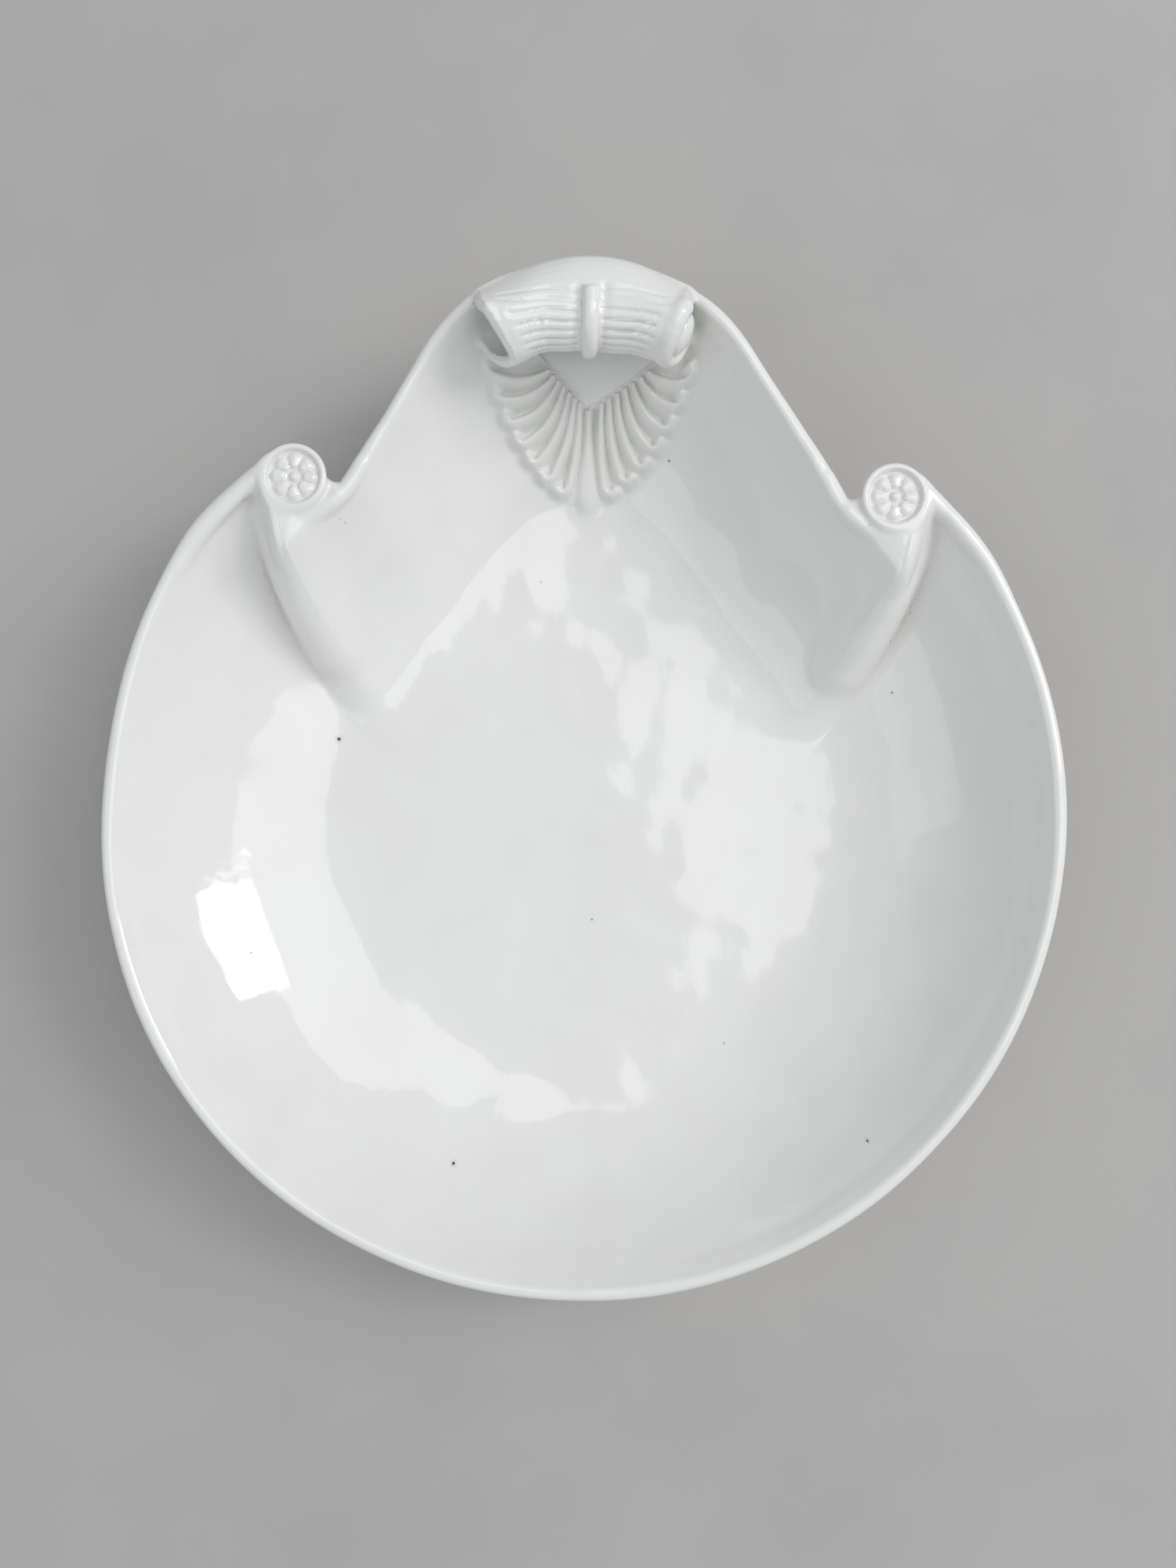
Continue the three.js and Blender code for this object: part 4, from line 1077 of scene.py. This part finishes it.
# %% Directions and hollows of the skin
# Glaze pools, and shade is painted, where the other side of a hollow is near. The measure is evened out
# over neighbours.
POOL_AND_SHADE_REACH = 3.0
EVEN_ROUNDS = 10
normals = slope_at(vertices, value)
normals /= np.maximum(np.linalg.norm(normals, axis=1, keepdims=True), 1e-9)
hollowness = 1 - np.clip(evaluate(vertices + normals * POOL_AND_SHADE_REACH) / POOL_AND_SHADE_REACH, 0, 1)
ends = quad_edges(quads)
ends = np.concatenate([ends, ends[:, ::-1]])
counts = np.bincount(ends[:, 0], minlength=len(vertices))
for _ in range(EVEN_ROUNDS):
    around = np.bincount(ends[:, 0], hollowness[ends[:, 1]], len(vertices)) / np.maximum(counts, 1)
    hollowness = mix(hollowness, around, 0.7)
print(f"hollowness from {hollowness.min():.2f} to {hollowness.max():.2f}")

# %% The skin as an object
skin_mesh = bpy.data.meshes.new("porcelain_skin")
place = (vertices + [0, BOWL_Y, 0]) * MM
skin_mesh.vertices.add(len(place))
skin_mesh.vertices.foreach_set("co", place.astype(np.float32).ravel())
skin_mesh.loops.add(4 * len(quads))
skin_mesh.loops.foreach_set("vertex_index", quads.astype(np.int32).ravel())
skin_mesh.polygons.add(len(quads))
skin_mesh.polygons.foreach_set("loop_start", np.arange(0, 4 * len(quads), 4, dtype=np.int32))
skin_mesh.update(calc_edges=True)
skin_mesh.validate()
skin_mesh.polygons.foreach_set("use_smooth", np.ones(len(skin_mesh.polygons), bool))
skin_mesh.normals_split_custom_set_from_vertices(normals)
hollow = skin_mesh.attributes.new("hollow", "FLOAT", "POINT")
hollow.data.foreach_set("value", hollowness.astype(np.float32))
skin = bpy.data.objects.new("porcelain_skin", skin_mesh)
bpy.context.collection.objects.link(skin)
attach(skin, "root")
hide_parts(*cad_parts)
print(f"skin of {len(skin_mesh.polygons)} faces")

# %% [markdown]
# ## Shader groups
# Effects that come back are node groups: the slow waves in a hand-smoothed surface, the iron specks
# of the clay, the tint where glaze runs together with painted shade in the hollows, and the bare edge
# of the foot. A group only gives masks, colours and heights. The shader itself stays in each material.


# %% Helpers for nodes
def connect(tree, value, socket):
    if isinstance(value, bpy.types.NodeSocket):
        tree.links.new(value, socket)
    else:
        socket.default_value = value


def math_node(tree, operation, a, b=0.0):
    made = tree.nodes.new("ShaderNodeMath")
    made.operation = operation
    connect(tree, a, made.inputs[0])
    connect(tree, b, made.inputs[1])
    return made.outputs[0]


def mix_colour(tree, share, a, b):
    made = tree.nodes.new("ShaderNodeMix")
    made.data_type = "RGBA"
    connect(tree, share, made.inputs["Factor"])
    connect(tree, a, made.inputs["A"])
    connect(tree, b, made.inputs["B"])
    return made.outputs["Result"]


def soft_step(tree, value, start, end):
    made = tree.nodes.new("ShaderNodeMapRange")
    made.interpolation_type = "SMOOTHSTEP"
    connect(tree, value, made.inputs["Value"])
    connect(tree, start, made.inputs["From Min"])
    connect(tree, end, made.inputs["From Max"])
    return made.outputs["Result"]


def noise(tree, place, scale, detail=2.0):
    made = tree.nodes.new("ShaderNodeTexNoise")
    tree.links.new(place, made.inputs["Vector"])
    connect(tree, scale, made.inputs["Scale"])
    made.inputs["Detail"].default_value = detail
    return made.outputs["Fac"]


def new_group(name, inputs, outputs):
    tree = bpy.data.node_groups.new(name, "ShaderNodeTree")
    for label, kind, value in inputs:
        socket = tree.interface.new_socket(name=label, in_out="INPUT", socket_type=kind)
        socket.default_value = value
    for label, kind in outputs:
        tree.interface.new_socket(name=label, in_out="OUTPUT", socket_type=kind)
    return tree, tree.nodes.new("NodeGroupInput"), tree.nodes.new("NodeGroupOutput")


def use_group(tree, group, **values):
    made = tree.nodes.new("ShaderNodeGroup")
    made.node_tree = group
    for label, value in values.items():
        connect(tree, value, made.inputs[label])
    return made.outputs


def object_place(tree):
    return tree.nodes.new("ShaderNodeTexCoord").outputs["Object"]


# %% Group: waves of a surface smoothed by hand
# Scale sets how close the slow waves are, and Fine how strong the quicker ones on top of them.
waves, given, result = new_group(
    "hand_waves", [("Scale", "NodeSocketFloat", 60.0), ("Fine", "NodeSocketFloat", 0.25)],
    [("Height", "NodeSocketFloat")])
place = object_place(waves)
slow = noise(waves, place, given.outputs["Scale"], 1.0)
quick_scale = math_node(waves, "MULTIPLY", given.outputs["Scale"], 4.0)
fine = math_node(waves, "MULTIPLY", noise(waves, place, quick_scale), given.outputs["Fine"])
waves.links.new(math_node(waves, "ADD", slow, fine), result.inputs["Height"])

# %% Group: iron specks
# Each speck is a dark spot with a brownish-green halo on the upper side of the dish. Its place and
# radius are in millimetres about the bowl's centre.
SPECKS = [(-68.5, 18.5, 0.5), (-31.5, -94, 0.38), (3.3, -29.2, 0.2), (80, 49, 0.22), (82.7, 36, 0.22),
          (75.7, -80.7, 0.25), (19.8, 96, 0.22), (-14, 64, 0.15), (41, -62, 0.16), (-88, -40, 0.18)]
SPOT_EDGE = (1.15, 0.55)    # where a spot starts and where it is full, in radii
HALO_EDGE = (3.2, 0.4)

specks, given, result = new_group(
    "iron_specks", [("Strength", "NodeSocketFloat", 1.0)],
    [("Speck", "NodeSocketFloat"), ("Halo", "NodeSocketFloat")])
geometry = specks.nodes.new("ShaderNodeNewGeometry")
facing = specks.nodes.new("ShaderNodeSeparateXYZ")
specks.links.new(geometry.outputs["Normal"], facing.inputs[0])
upward = soft_step(specks, facing.outputs["Z"], 0.1, 0.3)
flat = specks.nodes.new("ShaderNodeVectorMath")
flat.operation = "MULTIPLY"
flat.inputs[1].default_value = (1, 1, 0)
specks.links.new(object_place(specks), flat.inputs[0])
spot_total, halo_total = 0.0, 0.0
for x, y, radius in SPECKS:
    away = specks.nodes.new("ShaderNodeVectorMath")
    away.operation = "DISTANCE"
    specks.links.new(flat.outputs["Vector"], away.inputs[0])
    away.inputs[1].default_value = (x * MM, (y + BOWL_Y) * MM, 0)
    distance = away.outputs["Value"]
    spot = soft_step(specks, distance, *[share * radius * MM for share in SPOT_EDGE])
    halo = soft_step(specks, distance, *[share * radius * MM for share in HALO_EDGE])
    spot_total = math_node(specks, "MAXIMUM", spot, spot_total)
    halo_total = math_node(specks, "MAXIMUM", halo, halo_total)
strength = math_node(specks, "MULTIPLY", upward, given.outputs["Strength"])
specks.links.new(math_node(specks, "MULTIPLY", spot_total, strength), result.inputs["Speck"])
specks.links.new(math_node(specks, "MULTIPLY", halo_total, strength), result.inputs["Halo"])
print(len(SPECKS), "specks")

# %% Group: tint where the glaze runs together, with painted shade in hollows
pool_and_shade, given, result = new_group(
    "pooled_glaze_and_shade",
    [("Clear", "NodeSocketColor", (0.8, 0.8, 0.8, 1)), ("Pooled", "NodeSocketColor", (0.7, 0.7, 0.6, 1)),
     ("Hollow", "NodeSocketFloat", 0.0), ("Mottle", "NodeSocketFloat", 0.1)],
    [("Colour", "NodeSocketColor"), ("Depth", "NodeSocketFloat")])
cloud = noise(pool_and_shade, object_place(pool_and_shade), 42.0, 3.0)
# Painted shade: the hollow measure darkens the white where shade falls, and greens it like pooled glaze.
pool_and_shade_share = soft_step(pool_and_shade, given.outputs["Hollow"], 0.12, 0.9)
uneven = math_node(pool_and_shade, "MULTIPLY", soft_step(pool_and_shade, cloud, 0.35, 0.75), given.outputs["Mottle"])
pool_and_shade_share = math_node(pool_and_shade, "MAXIMUM", pool_and_shade_share, uneven)
colour = mix_colour(pool_and_shade, pool_and_shade_share, given.outputs["Clear"], given.outputs["Pooled"])
pool_and_shade.links.new(colour, result.inputs["Colour"])
pool_and_shade.links.new(pool_and_shade_share, result.inputs["Depth"])

# %% Group: the bare edge that the dish stands on
# Below Height the clay is bare, with a ragged edge where the glaze was wiped off.
RAGGEDNESS = 0.0009
WIPED_SOFTNESS = 0.0006
bare_edge, given, result = new_group(
    "bare_edge", [("Height", "NodeSocketFloat", 0.0007)],
    [("Mask", "NodeSocketFloat"), ("Grit", "NodeSocketFloat")])
place = object_place(bare_edge)
split = bare_edge.nodes.new("ShaderNodeSeparateXYZ")
bare_edge.links.new(place, split.inputs[0])
ragged = math_node(bare_edge, "MULTIPLY", noise(bare_edge, place, 240.0, 3.0), RAGGEDNESS)
raised = math_node(bare_edge, "ADD", split.outputs["Z"], ragged)
upper = math_node(bare_edge, "ADD", given.outputs["Height"], WIPED_SOFTNESS)
bare_edge.links.new(soft_step(bare_edge, raised, upper, given.outputs["Height"]), result.inputs["Mask"])
bare_edge.links.new(noise(bare_edge, place, 1900.0, 4.0), result.inputs["Grit"])

# %% [markdown]
# ## The glaze
# White clay under a clear, faintly green glaze: white on open faces, darker and greener in hollows,
# partly from pooled glaze and partly as painted shade, with slow waves in its shine and a few dark
# specks. One plain glossy shader does it, and the groups above feed its colour, roughness and bumps.

# %% Colours and measures of the glaze
CLEAR_WHITE = (0.83, 0.83, 0.805, 1)
POOLED_AND_SHADED_WHITE = (0.70, 0.715, 0.645, 1)
# The darker, greener white of hollows: partly pooled glaze, partly painted shade.
HALO_BROWN = (0.46, 0.43, 0.24, 1)
SPECK_BLACK = (0.028, 0.026, 0.018, 1)
BARE_CLAY = (0.66, 0.59, 0.48, 1)
GLAZE_IOR = 1.52
HALO_STRENGTH = 0.45
SHINE, SMEAR, BARE_DULLNESS = 0.045, 0.06, 0.7  # roughness, and what smears and bare clay add to it
WAVE_HEIGHT, GRIT_HEIGHT, BARE_HEIGHT = 0.0009, 0.0002, 0.0007  # in metres

# %% Colour of the glaze
glaze = bpy.data.materials.new("white_glaze")
glaze.use_nodes = True
tree = glaze.node_tree
shader = tree.nodes["Principled BSDF"]
shader.inputs["IOR"].default_value = GLAZE_IOR
hollow_node = tree.nodes.new("ShaderNodeAttribute")
hollow_node.attribute_name = "hollow"
# Painted shade and pooled glaze: hollows get the darker, greener white.
tint = use_group(tree, pool_and_shade, Clear=CLEAR_WHITE, Pooled=POOLED_AND_SHADED_WHITE, Hollow=hollow_node.outputs["Fac"],
                 Mottle=0.16)
spots = use_group(tree, specks, Strength=1.0)
foot_edge = use_group(tree, bare_edge, Height=BARE_HEIGHT)
halo_share = math_node(tree, "MULTIPLY", spots["Halo"], HALO_STRENGTH)
with_halo = mix_colour(tree, halo_share, tint["Colour"], HALO_BROWN)
with_specks = mix_colour(tree, spots["Speck"], with_halo, SPECK_BLACK)
tree.links.new(mix_colour(tree, foot_edge["Mask"], with_specks, BARE_CLAY), shader.inputs["Base Color"])

# %% Shine of the glaze
smear = noise(tree, object_place(tree), 30.0, 4.0)
gloss = math_node(tree, "MULTIPLY_ADD", smear, SMEAR)
gloss.node.inputs[2].default_value = SHINE
dulled = math_node(tree, "MULTIPLY", foot_edge["Mask"], BARE_DULLNESS)
tree.links.new(math_node(tree, "ADD", gloss, dulled), shader.inputs["Roughness"])

# %% Slow waves in the glaze and grit on the bare clay
swell = use_group(tree, waves, Scale=48.0, Fine=0.05)
wave_bump = tree.nodes.new("ShaderNodeBump")
wave_bump.inputs["Distance"].default_value = WAVE_HEIGHT
tree.links.new(swell["Height"], wave_bump.inputs["Height"])
grit_bump = tree.nodes.new("ShaderNodeBump")
grit_bump.inputs["Distance"].default_value = GRIT_HEIGHT
grit = math_node(tree, "MULTIPLY", foot_edge["Grit"], foot_edge["Mask"])
tree.links.new(grit, grit_bump.inputs["Height"])
tree.links.new(wave_bump.outputs["Normal"], grit_bump.inputs["Normal"])
tree.links.new(grit_bump.outputs["Normal"], shader.inputs["Normal"])
skin_mesh.materials.append(glaze)
print("glaze nodes:", len(tree.nodes))

# %% [markdown]
# ## Floor and light
# A plain pale floor and soft light from the right, as in a small studio. Large lamps give the
# glaze broad, soft-edged reflections. Their places and sizes are in metres.

# %% Floor
FLOOR_REACH = 3
FLOOR_SHADES = ((0.44, 0.43, 0.415, 1), (0.47, 0.46, 0.44, 1))
floor_corners = [(x * FLOOR_REACH, y * FLOOR_REACH, 0) for x, y in ((-1, -1), (1, -1), (1, 1), (-1, 1))]
floor_mesh = bpy.data.meshes.new("floor")
floor_mesh.from_pydata(floor_corners, [], [(0, 1, 2, 3)])
floor = bpy.data.objects.new("floor", floor_mesh)
bpy.context.collection.objects.link(floor)
floor_paint = bpy.data.materials.new("pale_floor")
floor_paint.use_nodes = True
floor_tree = floor_paint.node_tree
floor_shader = floor_tree.nodes["Principled BSDF"]
floor_wave = use_group(floor_tree, waves, Scale=9.0, Fine=0.5)
shade = soft_step(floor_tree, floor_wave["Height"], 0.35, 0.95)
floor_colour = mix_colour(floor_tree, shade, *FLOOR_SHADES)
floor_tree.links.new(floor_colour, floor_shader.inputs["Base Color"])
floor_shader.inputs["Roughness"].default_value = 0.9
floor_mesh.materials.append(floor_paint)
print("floor nodes:", len(floor_tree.nodes))


# %% Lamps
LIT_PLACE = (0, 0, 0.03)


def soft_lamp(name, place, size, power):
    """A rectangular lamp that faces the dish."""
    data = bpy.data.lights.new(name, "AREA")
    data.shape = "RECTANGLE"
    data.size, data.size_y = size
    data.energy = power
    lamp = bpy.data.objects.new(name, data)
    bpy.context.collection.objects.link(lamp)
    lamp.location = place
    direction = [t - p for t, p in zip(LIT_PLACE, place)]
    lamp.rotation_euler = Vector(direction).to_track_quat("-Z", "Y").to_euler()
    print(f"{name}: {power} W")


soft_lamp("window_right", (1.3, 0.45, 1.05), (0.5, 0.9), 9)
soft_lamp("sky_right", (0.8, 0.3, 1.9), (1.6, 1.6), 15)
soft_lamp("fill_left", (-1.2, -0.6, 1.4), (1.2, 1.2), 4)

# %% Light of the room
ROOM_COLOUR = (0.9, 0.92, 1.0, 1)
ROOM_STRENGTH = 0.42
world = bpy.data.worlds.new("room")
world.use_nodes = True
world.node_tree.nodes["Background"].inputs["Color"].default_value = ROOM_COLOUR
world.node_tree.nodes["Background"].inputs["Strength"].default_value = ROOM_STRENGTH
bpy.context.scene.world = world
bpy.context.scene.view_settings.view_transform = "Standard"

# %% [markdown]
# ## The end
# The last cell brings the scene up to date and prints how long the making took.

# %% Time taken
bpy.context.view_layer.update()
print(f"made in {time.time() - started:.0f} s")
